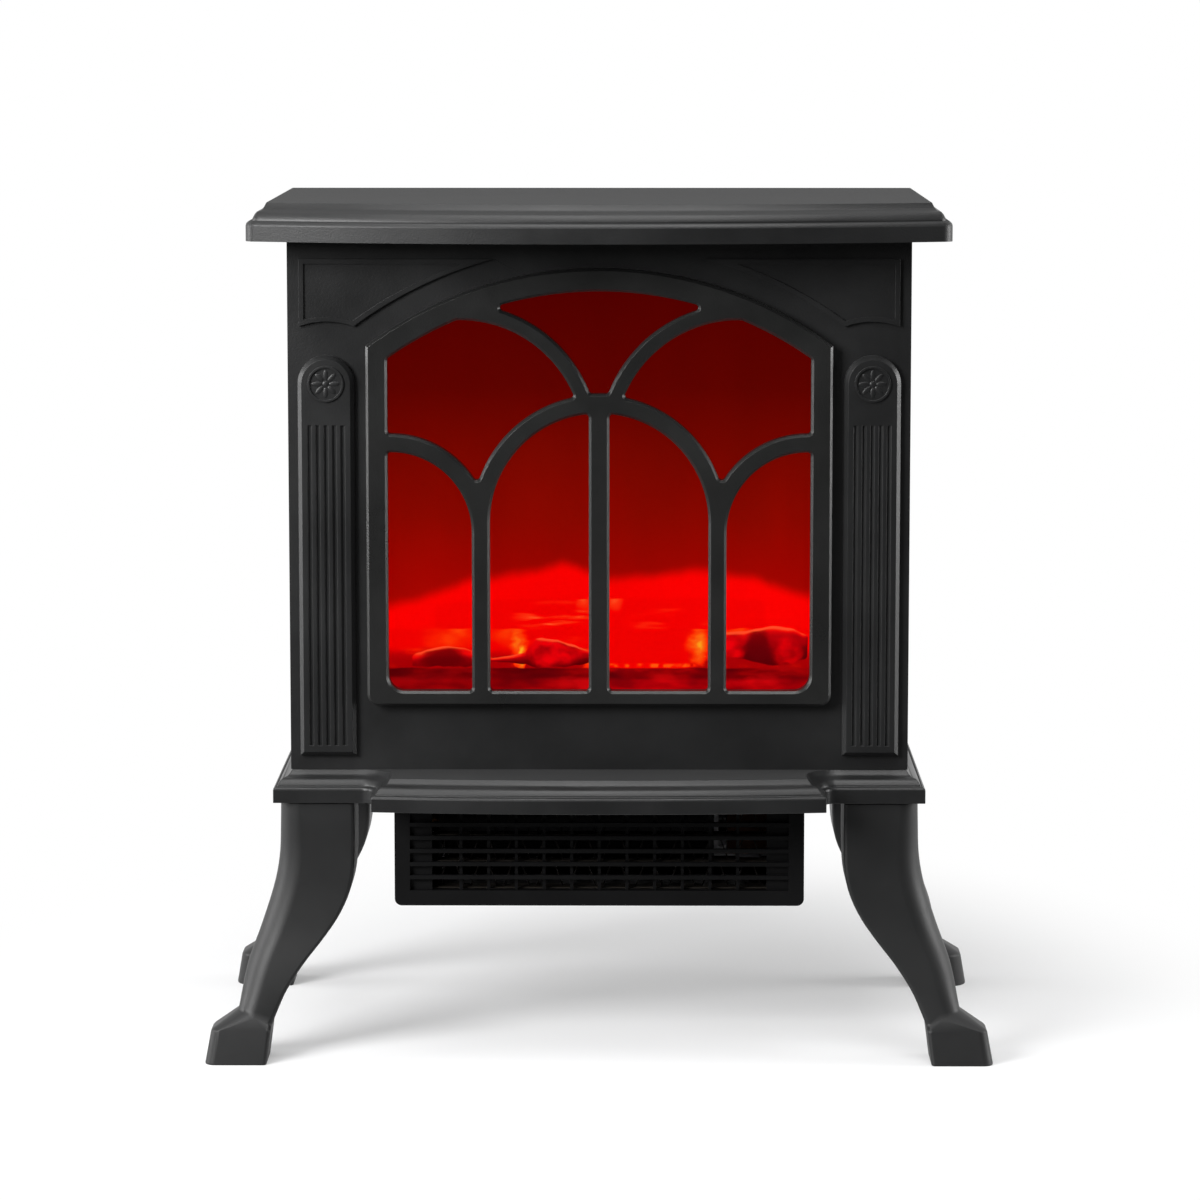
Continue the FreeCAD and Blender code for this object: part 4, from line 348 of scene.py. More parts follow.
# ---- rosettes ----
# A low bud with eight faint petals lies inside the ring at the head of each pilaster, moulded in
# one with it and in the same satin black.
PETALS = 8
PETAL_LENGTH = 0.0034
PETAL_WIDTH = 0.0016
PETAL_RISE = 0.0004
BUD_R = 0.0021
BUD_RISE = PETAL_RISE * 1.5
CASE_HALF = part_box("front_panel")[1].x
CASE_FRONT_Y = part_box("window_frame")[1].y
PILASTER_X = CASE_HALF - 0.0240
PILASTER_FACE = CASE_FRONT_Y - 0.0060
ROSETTE_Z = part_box("front_panel")[0].z + 0.2439
for side, hand in ((-1, "left"), (1, "right")):
    form = bmesh.new()
    centre = Matrix.Translation((side * PILASTER_X, PILASTER_FACE, ROSETTE_Z))
    bmesh.ops.create_uvsphere(form, u_segments=20, v_segments=10, radius=1.0,
                              matrix=centre @ Matrix.Diagonal((BUD_R, BUD_RISE, BUD_R, 1.0)))
    for petal in range(PETALS):
        turn = Matrix.Rotation(math.tau * petal / PETALS, 4, "Y")
        shape = Matrix.Translation((BUD_R + PETAL_LENGTH, 0.0, 0.0))
        shape = shape @ Matrix.Diagonal((PETAL_LENGTH, PETAL_RISE, PETAL_WIDTH, 1.0))
        bmesh.ops.create_uvsphere(form, u_segments=16, v_segments=8, radius=1.0,
                                  matrix=centre @ turn @ shape)
    rosette = new_piece("rosette_" + hand, form)
    smooth_faces(rosette, 60.0)
    fit_piece(rosette, satin_black, "satin_black", "casing")

# ---- window frame ----
# The arched frame and its tracery are one proud moulding with bevelled lips round every light. It
# is rubbed a little brighter than the panel, so that its lips catch the light.
frame_black = moulded("frame_black", (0.0100, 0.0102, 0.0100), 0.31, specular=0.7, grain_depth=0.2)
finished("window_frame", frame_black, "satin_black", ease=0.0009, segments=3, sharp=25.0)

# ---- hearth ----
# The two-tier base is one hollow moulding like the lid, with wings, concave steps and a bowed
# apron. The case stands on it, and the heater box hangs in the pocket underneath.
finished("hearth", satin_black, "satin_black")

# ---- legs ----
# Four cabriole legs, cast, painted and held under the hearth by screws from inside the case. The
# shank is broadly rounded on its outer corner, flares to the knee, and thins to an ankle above a
# hoof whose top slopes away from the leg.
CORNER_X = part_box("side_panel_right")[1].x
BACK_SCREW_REACH = 0.006
CASE_REAR_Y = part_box("back_panel_screws")[0].y + BACK_SCREW_REACH
CASE_MIDDLE_Y = (CASE_FRONT_Y + CASE_REAR_Y) / 2.0
LEG_EASE = 0.0010
LEG_SHARP = 32.0
CORNER_STEPS = 7
SHANK_STEPS = 30
# From here on the leg's sizes are in millimetres. Each profile is a list of height and reach past
# the case corner.
LEG_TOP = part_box("leg_front_right")[1].z * 1000.0
ANKLE_LOW = 24.0
ANKLE_SLANT = 9.0
SLANT_FADE = 45.0
INNER_SIDE = ((24.0, 11.6), (30.4, 9.1), (45.1, 2.5), (61.4, -8.1), (76.8, -20.3),
              (90.0, -29.5), (103.9, -36.2), (116.0, -39.2), (132.0, -40.2), (163.3, -40.2))
OUTER_SIDE = ((24.0, 34.5), (34.6, 32.9), (60.9, 27.7), (83.4, 19.6), (110.1, 11.2),
              (128.3, 7.9), (149.6, 7.0), (163.3, 6.7))
REAR_SIDE = ((24.0, 1.5), (55.0, -8.0), (82.0, -21.0), (106.0, -31.0), (130.0, -36.0),
             (163.3, -37.0))
FRONT_SIDE = ((24.0, 27.0), (55.0, 20.5), (82.0, 14.5), (106.0, 11.5), (130.0, 10.3),
              (163.3, 10.0))
CORNER_ROUND = ((24.0, 11.0), (60.0, 14.5), (105.0, 16.0), (163.3, 12.5))
REAR_ROUND = 8.0
INNER_ROUNDS = (2.5, 3.0)
# The sole and the top of the hoof: inner and outer reach in X and in Y, then the two roundings.
HOOF_SOLE = (14.7, 53.7, 1.0, 35.0, 6.5, 14.0)
HOOF_RIM = (12.0, 49.8, -2.5, 31.5, 6.0, 13.0)
HOOF_TOP = 21.5


def profile_at(profile, height):
    """The reach of a profile at a height, on one smooth curve through its points."""
    last = len(profile) - 1
    low = max([index for index in range(last) if profile[index][0] <= height] or [0])
    slopes = []
    for index in (low, low + 1):
        before, after = profile[max(index - 1, 0)], profile[min(index + 1, last)]
        slopes.append((after[1] - before[1]) / (after[0] - before[0]))
    span = profile[low + 1][0] - profile[low][0]
    part = min(max((height - profile[low][0]) / span, 0.0), 1.0)
    rest = 1.0 - part
    start = profile[low][1] * rest ** 2 * (1.0 + 2.0 * part) + slopes[0] * span * part * rest ** 2
    end = profile[low + 1][1] * part ** 2 * (3.0 - 2.0 * part) - slopes[1] * span * part ** 2 * rest
    return start + end


def leg_ring(height, slant, inner_x, outer_x, inner_y, outer_y, rounding, rear_rounding):
    """A rounded section of the front right leg: a slant lifts its outer side."""
    corners = ((outer_x, outer_y, rounding), (inner_x, outer_y, INNER_ROUNDS[0]),
               (inner_x, inner_y, INNER_ROUNDS[1]), (outer_x, inner_y, rear_rounding))
    places = []
    for quarter, (corner_x, corner_y, radius) in enumerate(corners):
        out_x = 1.0 if corner_x == outer_x else -1.0
        out_y = 1.0 if corner_y == outer_y else -1.0
        for step in range(CORNER_STEPS):
            angle = (quarter + step / (CORNER_STEPS - 1.0)) * math.pi / 2.0
            x = corner_x + radius * (math.cos(angle) - out_x)
            y = corner_y + radius * (math.sin(angle) - out_y)
            lift = slant * (x - inner_x) / (outer_x - inner_x)
            places.append(Vector((CORNER_X + x / 1000.0, CASE_FRONT_Y - y / 1000.0,
                                  (height + lift) / 1000.0)))
    return places


def leg_rings():
    """All the sections of a leg from the floor up: the hoof, the ankle and the shank."""
    rings = [leg_ring(0.0, 0.0, *HOOF_SOLE), leg_ring(HOOF_TOP, 0.0, *HOOF_RIM)]
    for step in range(SHANK_STEPS + 1):
        height = ANKLE_LOW + (LEG_TOP - ANKLE_LOW) * step / SHANK_STEPS
        slant = ANKLE_SLANT * max(1.0 - (height - ANKLE_LOW) / SLANT_FADE, 0.0) ** 2
        inner_x, inner_y = profile_at(INNER_SIDE, height), profile_at(REAR_SIDE, height)
        outer_x, outer_y = profile_at(OUTER_SIDE, height + slant), profile_at(FRONT_SIDE, height)
        rings.append(leg_ring(height, slant, inner_x, outer_x, inner_y, outer_y,
                              profile_at(CORNER_ROUND, height), REAR_ROUND))
    return rings


def leg_form():
    """The front right leg, extruded up from its foot through its sections."""
    form = bmesh.new()
    rings = leg_rings()
    ring = bmesh.ops.create_circle(form, cap_ends=True, segments=len(rings[0]), radius=1.0)["verts"]
    for vert, place in zip(ring, rings[0]):
        vert.co = place
    top = form.faces[:][0]
    for places in rings[1:]:
        raised = bmesh.ops.extrude_face_region(form, geom=[top, *top.edges, *top.verts])["geom"]
        above = [item for item in raised if isinstance(item, bmesh.types.BMVert)]
        ring = [min(above, key=lambda vert, old=old: (vert.co - old.co).length) for old in ring]
        for vert, place in zip(ring, places):
            vert.co = place
        top = [item for item in raised if isinstance(item, bmesh.types.BMFace)][0]
    return form


leg_black = moulded("leg_black", (0.0095, 0.0097, 0.0100), 0.50, specular=0.45)
for depth, row in ((1, "front"), (-1, "rear")):
    for side, hand in ((1, "right"), (-1, "left")):
        form = leg_form()
        for vert in form.verts:
            vert.co.x *= side
            vert.co.y = CASE_MIDDLE_Y + (vert.co.y - CASE_MIDDLE_Y) * depth
        form.normal_update()
        bmesh.ops.recalc_face_normals(form, faces=form.faces)
        leg = new_piece("leg_%s_%s_cast" % (row, hand), form)
        smooth_faces(leg, LEG_SHARP)
        ease_edges(leg, LEG_EASE, 3, LEG_SHARP)
        fit_piece(leg, leg_black, "leg_black", "casing", "leg_%s_%s" % (row, hand))

# ---- window glass and clips ----
# One flat pane, slightly smoked and coated against reflections, held against the back of the front
# panel by six stepped steel clips.
def dressed(node, material):
    """Gives a node that keeps its own shape its finish."""
    mesh = frame["nodes"][node].data
    mesh.materials.clear()
    mesh.materials.append(material)


glass, tree = new_material("window_glass")
smear = add_node(tree, "ShaderNodeTexNoise", {
    "Vector": coordinates(tree), "Scale": 9.0, "Detail": 4.0}).outputs["Fac"]
clear = add_node(tree, "ShaderNodeBsdfPrincipled", {
    "Base Color": ramp(tree, smear, [(0.3, (0.93, 0.92, 0.92)), (0.7, (0.97, 0.97, 0.97))]),
    "Roughness": ramp(tree, smear, [(0.35, 0.0), (0.75, 0.03)]),
    "Transmission Weight": 1.0, "IOR": 1.05})
finish_surface(tree, clear.outputs[0])
dressed("window_glass", glass)
bare_steel = moulded("bare_steel", (0.42, 0.42, 0.43), 0.35, grain_scale=300.0, metallic=1.0,
                     stretch=(1.0, 1.0, 18.0))
dressed("glass_clips", bare_steel)

# ---- fire chamber walls ----
# Two walls and a roof of thin sheet around the fire view, folded and painted matt black. They pick
# up the red of the fire.
liner_black = moulded("liner_black", (0.03, 0.022, 0.02), 0.7, specular=0.15)
dressed("firebox_liner", liner_black)

# ---- flame screen ----
# A frosted plastic panel stands behind the bed, and the moving light falls on it. That light is
# painted on as the screen's own glow: plain red in a low hump above the logs, fading upwards to a
# deep dull red.
HUMP_OUTLINE = (
    # place across the screen and height of the hump, in millimetres
    (-150, 270.0), (-135, 272.6), (-86, 285.1), (-70, 286.8), (-40, 294.9), (-25, 300.5),
    (-8, 293.0), (7, 287.0), (23, 291.0), (68, 293.0), (98, 290.5), (135, 279.1), (150, 276.0),
)
HUMP_BASE = 250.0
HUMP_SPAN = 100.0
HUMP_EDGE = (0.0075, -0.0035)
SCREEN_HALF = 150.0
LICK_RISE = 0.012
SCREEN_LOW = 0.26
SCREEN_TOP = 0.51
PLAIN_RED = (1.0, 0.0, 0.0)
DULL_RED = (0.05, 0.0, 0.0)


def cloudy(tree, place, scale, stretch=(1.0, 1.0, 1.0), detail=3.0):
    """Soft noise over the object, stretched by axis."""
    placed = add_node(tree, "ShaderNodeMapping", {
        "Vector": place, "Scale": stretch}).outputs["Vector"]
    return add_node(tree, "ShaderNodeTexNoise", {
        "Vector": placed, "Scale": scale, "Detail": detail}).outputs["Fac"]


def blended(tree, factor, first, second):
    """A mix of two colours, each a socket or its red, green and blue parts."""
    first, second = (colour if isinstance(colour, bpy.types.NodeSocket) else (*colour, 1.0)
                     for colour in (first, second))
    # Inputs 6 and 7 and output 2 are the colours of this node.
    return add_node(tree, "ShaderNodeMix", {"Factor": factor, 6: first, 7: second},
                    data_type="RGBA").outputs[2]


def finish_glow(tree, colour, strength=1.0):
    """Joins a surface that gives light of its own to the material's output."""
    shine = add_node(tree, "ShaderNodeEmission", {"Color": colour, "Strength": strength})
    finish_surface(tree, shine.outputs[0])


screen_painted_light, tree = new_material("flame_screen")
place = coordinates(tree)
across, height = part_of(tree, place, "X"), part_of(tree, place, "Z")
share = stepped(tree, across, -SCREEN_HALF / 1000.0, SCREEN_HALF / 1000.0, smooth=False)
outline = ramp(tree, share, [((x + SCREEN_HALF) / (2.0 * SCREEN_HALF), (z - HUMP_BASE) / HUMP_SPAN)
                             for x, z in HUMP_OUTLINE])
hump = calculate(tree, "MULTIPLY_ADD", outline, HUMP_SPAN / 1000.0, HUMP_BASE / 1000.0)
above = calculate(tree, "SUBTRACT", height, hump)
licks = calculate(tree, "SUBTRACT", cloudy(tree, place, 30.0, (1.0, 1.0, 0.35)), 0.5)
above = calculate(tree, "ADD", above, calculate(tree, "MULTIPLY", licks, LICK_RISE))
fade = ramp(tree, stepped(tree, height, SCREEN_LOW, SCREEN_TOP, smooth=False),
            [(0.0, (0.46, 0.001, 0.0)), (0.14, (0.40, 0.001, 0.0)), (0.28, (0.30, 0.002, 0.0)),
             (0.45, (0.215, 0.002, 0.0)), (0.62, (0.125, 0.0008, 0.0)), (1.0, (0.075, 0.0, 0.0))])
uneven = cloudy(tree, place, 14.0, (1.6, 1.0, 0.5))
fade = blended(tree, calculate(tree, "MULTIPLY", uneven, 0.45), fade, DULL_RED)
glow = blended(tree, stepped(tree, above, *HUMP_EDGE), fade, PLAIN_RED)
rearward = part_of(tree, coordinates(tree, "Normal"), "Y")
finish_glow(tree, glow, stepped(tree, rearward, 0.5, 0.2))
dressed("flame_screen", screen_painted_light)

# ---- fuel bed ----
# A thin red resin moulding of embers stands on the floor plate between the chamber walls, and is
# lit from below; that light is painted on as the bed's own glow. Its lip stands behind the sill,
# and it climbs to a crest under the logs.
BED_STEPS_ACROSS = 190
BED_STEPS_DEEP = 60
BED_GAP = 0.0006
BED_LUMP = 0.0026
BED_SKIN = 0.0012
SKIRT_SHARE = 0.16
SKIRT_LEAN = 0.002
LIP_SHARE = 0.30
LIP_DROP = 0.005
LIP_CROWN = 0.0012
CREST_SHARE = 0.6
CREST_DROP = 0.003
bed_low, bed_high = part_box("fuel_bed")
LIP_Y = bed_low.y + 0.0197
LIP_Z = bed_low.z + 0.0598
CREST_Z = bed_high.z
REAR_FALL = 0.012


def bed_surface(x, share):
    """A place on the bed: share runs up the skirt, over the lip and the crest, to the rear."""
    foot_y = bed_low.y + BED_GAP
    rear_y = bed_high.y - BED_GAP
    if share < SKIRT_SHARE:
        part = share / SKIRT_SHARE
        y = foot_y + SKIRT_LEAN * part
        z = bed_low.z + (LIP_Z - LIP_DROP - bed_low.z) * part
        rough = 0.2
    elif share < LIP_SHARE:
        part = (share - SKIRT_SHARE) / (LIP_SHARE - SKIRT_SHARE)
        y = foot_y + SKIRT_LEAN + (LIP_Y - foot_y - SKIRT_LEAN) * part
        z = LIP_Z - LIP_DROP + (LIP_DROP + LIP_CROWN) * part
        rough = 0.3
    else:
        part = (share - LIP_SHARE) / (1.0 - LIP_SHARE)
        y = LIP_Y + (rear_y - LIP_Y) * part
        rise = math.sin(min(part / CREST_SHARE, 1.0) * math.pi / 2.0)
        fall = max(part - CREST_SHARE, 0.0) / (1.0 - CREST_SHARE)
        z = LIP_Z + LIP_CROWN + (CREST_Z - CREST_DROP - LIP_Z) * rise - REAR_FALL * fall
        rough = min(1.0, 0.35 + 3.0 * part)
    coarse = noise.noise(Vector((x * 70.0, y * 90.0, 3.0)))
    fine = noise.noise(Vector((x * 180.0, y * 220.0, 9.0)))
    lump = coarse * 0.6 + fine * 0.3
    return Vector((x, y, min(z + BED_LUMP * rough * lump, CREST_Z)))


form = bmesh.new()
bmesh.ops.create_grid(form, x_segments=BED_STEPS_ACROSS, y_segments=BED_STEPS_DEEP, size=1.0)
bed_half = bed_high.x - BED_GAP
for vert in form.verts:
    vert.co = bed_surface(vert.co.x * bed_half, (vert.co.y + 1.0) / 2.0)
bmesh.ops.recalc_face_normals(form, faces=form.faces)
bed = new_piece("ember_bed", form)
smooth_faces(bed, 70.0)
skin = bed.modifiers.new("skin", "SOLIDIFY")
skin.thickness = BED_SKIN
skin.offset = -1.0


def soft_spots(tree, place, spots):
    """How strong soft spots are at a place, each with its middle, its reach across and up, and its
    peak.
    """
    total = 0.0
    for x, z, reach_x, reach_z, strength in spots:
        local = add_node(tree, "ShaderNodeMapping", {
            "Vector": place, "Location": millimetres(x, 0.0, z),
            "Scale": millimetres(reach_x, 1000.0, reach_z)}, vector_type="TEXTURE")
        spot = add_node(tree, "ShaderNodeTexGradient", {"Vector": local.outputs["Vector"]},
                        gradient_type="SPHERICAL").outputs["Fac"]
        total = calculate(tree, "MAXIMUM", total, calculate(tree, "MULTIPLY", spot, strength))
    return total


def wavering(tree, place, reach):
    """The place moved about by noise, which gives painted glow and painted shade an uneven edge."""
    wobble = add_node(tree, "ShaderNodeTexNoise", {
        "Vector": place, "Scale": 90.0, "Detail": 3.0}).outputs["Color"]
    centred = vector_step(tree, "SUBTRACT", wobble, (0.5, 0.5, 0.5))
    scaled = add_node(tree, "ShaderNodeVectorMath", {0: centred, "Scale": reach},
                      operation="SCALE").outputs[0]
    return vector_step(tree, "ADD", place, scaled)


PAINTED_GLOW_COLOURS = [(0.0, (0.92, 0.0, 0.0)), (0.25, (0.98, 0.012, 0.0)), (0.5, (1.0, 0.06, 0.002)),
                (0.75, (1.0, 0.16, 0.005)), (1.0, (1.0, 0.42, 0.015))]
SKIRT_COLOURS = [(0.34, (0.26, 0.0, 0.002)), (0.5, (0.5, 0.0, 0.002)),
                 (0.64, (0.78, 0.002, 0.004))]
LIP_SHADOW_COLOURS = [(0.34, (0.10, 0.0, 0.001)), (0.52, (0.24, 0.0, 0.001)),
                 (0.66, (0.50, 0.001, 0.002))]
DIM_EMBER = (0.26, 0.0, 0.001)
SHADED_SKIRT = (0.06, 0.0, 0.001)
LIP_LINE_EDGE = (0.0026, 0.0010)
BRIGHT_LEFT_EDGE = (-0.002, 0.008)
BRIGHT_RIGHT_EDGE = (0.064, 0.054)
DIM_FRONT_EDGE = (-0.040, -0.056)
LIP_SHADOW_EDGE = (0.2375, 0.2405)
UPPER_EDGE = (LIP_Y - 0.0042, LIP_Y - 0.0022)
ember_bed, tree = new_material("ember_bed")
place = coordinates(tree)
across, depth, height = (part_of(tree, place, axis) for axis in "XYZ")
# Painted light: the hot spots and streaks, and a thin line along the lip that is brightest right of
# the middle.
flame = soft_spots(tree, wavering(tree, place, 0.012), (
    (-50.0, 250.0, 4.5, 11.0, 1.35), (-53.0, 257.0, 7.0, 11.0, 0.75),
    (-60.0, 263.0, 13.0, 11.0, 0.45), (63.0, 256.0, 9.0, 13.0, 1.0),
    (-97.0, 258.0, 20.0, 7.0, 0.4), (-91.0, 262.0, 13.0, 6.0, 0.5),
    (88.0, 263.0, 12.0, 5.0, 0.6), (-8.0, 249.0, 6.0, 6.0, 0.8)))
streak = stepped(tree, cloudy(tree, place, 60.0, (0.5, 1.0, 3.4)), 0.62, 0.80)
from_lip = calculate(tree, "ABSOLUTE", calculate(tree, "SUBTRACT", depth, LIP_Y))
broken = stepped(tree, cloudy(tree, place, 210.0, (0.8, 0.3, 0.3)), 0.46, 0.60)
lip_line = calculate(tree, "MULTIPLY", broken, stepped(tree, from_lip, *LIP_LINE_EDGE))
bright_part = calculate(tree, "MULTIPLY", stepped(tree, across, *BRIGHT_LEFT_EDGE),
                        stepped(tree, across, *BRIGHT_RIGHT_EDGE))
lip_line = calculate(tree, "MULTIPLY", lip_line,
                     calculate(tree, "MULTIPLY_ADD", bright_part, 0.50, 0.12))
heat = calculate(tree, "MAXIMUM", flame, calculate(tree, "MULTIPLY", streak, 0.35))
heat = calculate(tree, "MAXIMUM", heat, lip_line)
# The crest's painted glow, dimmer towards the front outside the bright part and the hot spots.
upper = ramp(tree, heat, PAINTED_GLOW_COLOURS)
dim_front = calculate(tree, "MULTIPLY", stepped(tree, depth, *DIM_FRONT_EDGE),
                 calculate(tree, "SUBTRACT", 1.0, bright_part))
dim_front = calculate(tree, "MULTIPLY", dim_front, stepped(tree, heat, 0.3, 0.05))
upper = blended(tree, calculate(tree, "MULTIPLY", dim_front, 0.8), upper, DIM_EMBER)
# The skirt below the lip: mottled, with the lip's painted shadow as a darker strip at its top, and
# painted shade across it, darkest at the left.
patchy = cloudy(tree, place, 70.0, (0.55, 1.0, 1.5), 5.0)
skirt = ramp(tree, patchy, SKIRT_COLOURS)
lip_shadow = ramp(tree, patchy, LIP_SHADOW_COLOURS)
skirt = blended(tree, stepped(tree, height, *LIP_SHADOW_EDGE), skirt, lip_shadow)
shade = ramp(tree, stepped(tree, across, -0.130, 0.130, smooth=False),
             [(0.0, 0.62), (0.30, 0.52), (0.46, 0.30), (0.58, 0.0), (0.85, 0.12), (1.0, 0.25)])
skirt = blended(tree, shade, skirt, SHADED_SKIRT)
finish_glow(tree, blended(tree, stepped(tree, depth, *UPPER_EDGE), skirt, upper))
fit_piece(bed, ember_bed, "ember_bed", "casing", "fuel_bed")

# ---- logs ----
# Three cast resin logs with bark ridges and sawn ends, which lie in the bed. The light through
# them is painted on as their own glow: a painted bright rim on top against the screen, and painted
# shade, dull dark red, on the side that faces the room.
LOG_STEPS_ROUND = 28
LOG_STEPS_LONG = 30
LOG_SEAT = LIP_Z + LIP_CROWN
WORN_DEPTH = 0.0016
WORN_FALL = 0.02
PAINTED_FACING_LIGHT = [(0.0, (0.10, 0.0, 0.001)), (0.35, (0.17, 0.0, 0.001)), (0.62, (0.42, 0.0, 0.002)),
                (0.80, (0.85, 0.002, 0.002)), (0.885, (1.0, 0.03, 0.006)),
                (0.93, (1.0, 0.13, 0.03))]
SPOT_GLOW_COLOURS = [(0.35, (0.36, 0.0, 0.001)), (0.6, (0.86, 0.0, 0.002))]
REAR_COLOURS = [(0.0, (0.94, 0.0, 0.0)), (0.5, (1.0, 0.03, 0.004)), (1.0, (1.0, 0.16, 0.03))]
PAINTED_SHADE_RED = (0.12, 0.0, 0.001)
PAINTED_RIM_LIGHT = (1.0, 0.075, 0.02)
RIM_LEAN = (0.86, 0.97)
BACK_ROW_EDGE = (-0.028, -0.018)
log_glow, tree = new_material("log_resin")
place = coordinates(tree)
# The two logs in front, all painted light: dark bark whose painted light brightens on faces turned
# upwards, with brighter hot places, patches of painted shade and a painted lit rim on top.
bark = calculate(tree, "SUBTRACT", cloudy(tree, place, 70.0, (0.35, 1.0, 1.3)), 0.5)
lean = calculate(tree, "ADD", part_of(tree, coordinates(tree, "Normal"), "Z"),
                 calculate(tree, "MULTIPLY", bark, 0.35))
front = ramp(tree, stepped(tree, lean, -0.4, 1.1, smooth=False), PAINTED_FACING_LIGHT)
hot = soft_spots(tree, wavering(tree, place, 0.008), (
    (119.0, 254.0, 13.0, 12.0, 1.0), (-29.0, 254.0, 24.0, 13.0, 1.0),
    (80.0, 258.0, 15.0, 15.0, 1.0)))
spot_glow = ramp(tree, cloudy(tree, place, 110.0, (0.8, 1.0, 1.0)), SPOT_GLOW_COLOURS)
front = blended(tree, stepped(tree, hot, 0.05, 0.55), front, spot_glow)
log_painted_shade = soft_spots(tree, wavering(tree, place, 0.008), (
    (101.0, 259.0, 10.0, 13.0, 1.0), (-99.0, 250.0, 17.0, 9.0, 1.0),
    (-30.0, 239.0, 26.0, 9.0, 1.0), (120.0, 242.0, 22.0, 6.0, 1.0),
    (84.0, 246.0, 16.0, 7.0, 0.7)))
log_painted_shade = calculate(tree, "MULTIPLY", stepped(tree, log_painted_shade, 0.0, 0.5), 0.85)
front = blended(tree, log_painted_shade, front, PAINTED_SHADE_RED)
front = blended(tree, stepped(tree, lean, *RIM_LEAN), front, PAINTED_RIM_LIGHT)
# The log at the back: painted light, bright red with paler streaks.
streaks = calculate(tree, "MULTIPLY",
                    stepped(tree, cloudy(tree, place, 75.0, (0.4, 1.0, 3.0)), 0.52, 0.70),
                    soft_spots(tree, place, ((47.0, 267.0, 30.0, 9.0, 1.0),
                                             (-28.0, 269.0, 30.0, 11.0, 1.0))))
lit = soft_spots(tree, wavering(tree, place, 0.006), (
    (-10.5, 280.5, 6.0, 7.0, 0.8), (9.5, 280.5, 6.0, 8.0, 0.8)))
lit = calculate(tree, "MAXIMUM", lit, calculate(tree, "MULTIPLY", streaks, 1.4))
back_row = stepped(tree, part_of(tree, place, "Y"), *BACK_ROW_EDGE)
finish_glow(tree, blended(tree, back_row, front, ramp(tree, lit, REAR_COLOURS)))


def bark_swell(turn, length, start):
    """How far the bark stands out or in, round and along a log."""
    out_x, out_y = math.cos(turn), math.sin(turn)
    ridge = noise.noise(Vector((out_x * 2.6, out_y * 2.6, length * 25.0 + start.x * 50.0)))
    knot = noise.noise(Vector((out_x * 0.9, out_y * 0.9, length * 60.0 + start.x * 30.0)))
    return 0.97 + 0.07 * ridge + 0.06 * knot


def log_piece(node, start, end, girth, underside=0.0):
    """A log between two places: a girth by its length, blunt ends and a flat underside."""
    along = end - start
    form = bmesh.new()
    bmesh.ops.create_cone(form, cap_ends=True, segments=LOG_STEPS_ROUND,
                          radius1=1.0, radius2=1.0, depth=1.0)
    ends = [face for face in form.faces if len(face.verts) > 4]
    bmesh.ops.inset_region(form, faces=ends, thickness=0.2, depth=0.02)
    walls = [edge for edge in form.edges if abs(edge.verts[0].co.z - edge.verts[1].co.z) > 0.9]
    bmesh.ops.subdivide_edges(form, edges=walls, cuts=LOG_STEPS_LONG)
    for vert in form.verts:
        share = min(max(vert.co.z + 0.5, 0.0), 1.0)
        place = min(share, 0.999) * (len(girth) - 1)
        low = int(place)
        part = (place - low) ** 2 * (3.0 - 2.0 * (place - low))
        radius = (girth[low] * (1.0 - part) + girth[low + 1] * part) / 1000.0
        turn = math.atan2(vert.co.y, vert.co.x)
        swell = radius * bark_swell(turn, share * along.length, start)
        vert.co.x *= swell
        vert.co.y *= swell
        vert.co.z *= along.length
    turned = along.to_track_quat("Z", "Y").to_matrix().to_4x4()
    middle = Matrix.Translation((start + end) / 2.0)
    bmesh.ops.transform(form, matrix=middle @ turned, verts=form.verts)
    for vert in form.verts:
        worn = underside + WORN_DEPTH * noise.noise(Vector((vert.co.x * 160.0, 0.0, 5.0)))
        vert.co.z = max(vert.co.z, worn + WORN_FALL * (vert.co.z - worn))
    form.normal_update()
    bmesh.ops.recalc_face_normals(form, faces=form.faces)
    piece = new_piece(node + "_bark", form)
    smooth_faces(piece, 50.0)
    fit_piece(piece, log_glow, "log_resin", "casing", node)


low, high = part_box("log_back")
log_piece("log_back", Vector((low.x, 0.0, low.z + 0.011)),
          Vector((high.x, 0.0, high.z - 0.0125)), (10.0, 12.0, 11.5, 12.0, 10.5))
low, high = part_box("log_left")
log_piece("log_left", Vector((low.x + 0.001, low.y + 0.0115, low.z + 0.0112)),
          Vector((high.x - 0.001, low.y + 0.0125, low.z + 0.0160)),
          (8.0, 10.5, 11.5, 10.5, 7.0, 2.5, 3.5, 5.0, 15.0, 13.2, 9.5, 5.5), LOG_SEAT)
low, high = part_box("log_right")
log_piece("log_right", Vector((high.x - 0.001, low.y + 0.012, low.z + 0.0125)),
          Vector((low.x + 0.001, high.y - 0.013, low.z + 0.0140)),
          (8.0, 12.0, 13.0, 11.0, 9.0, 8.0, 5.5), LOG_SEAT)

# ---- lamps under the bed ----
# A green circuit board stands on four spacers on the floor plate. It carries seven flat lamps with
# amber lenses, soldered to its face, which light the bed from below.
board_green = moulded("board_green", (0.012, 0.075, 0.03), 0.4, specular=0.5, mottle=0.1)
dressed("lamp_board", board_green)
LAMP_GLOW = (1.0, 0.25, 0.08, 1.0)
lamp_lens, tree = new_material("lamp_lens")
tone = ramp(tree, cloudy(tree, coordinates(tree), 400.0),
            [(0.3, (0.75, 0.55, 0.25)), (0.7, (0.85, 0.7, 0.4))])
lens = add_node(tree, "ShaderNodeBsdfPrincipled", {
    "Base Color": tone, "Roughness": 0.3, "Emission Color": LAMP_GLOW, "Emission Strength": 1.5})
finish_surface(tree, lens.outputs[0])
dressed("flame_lamps", lamp_lens)

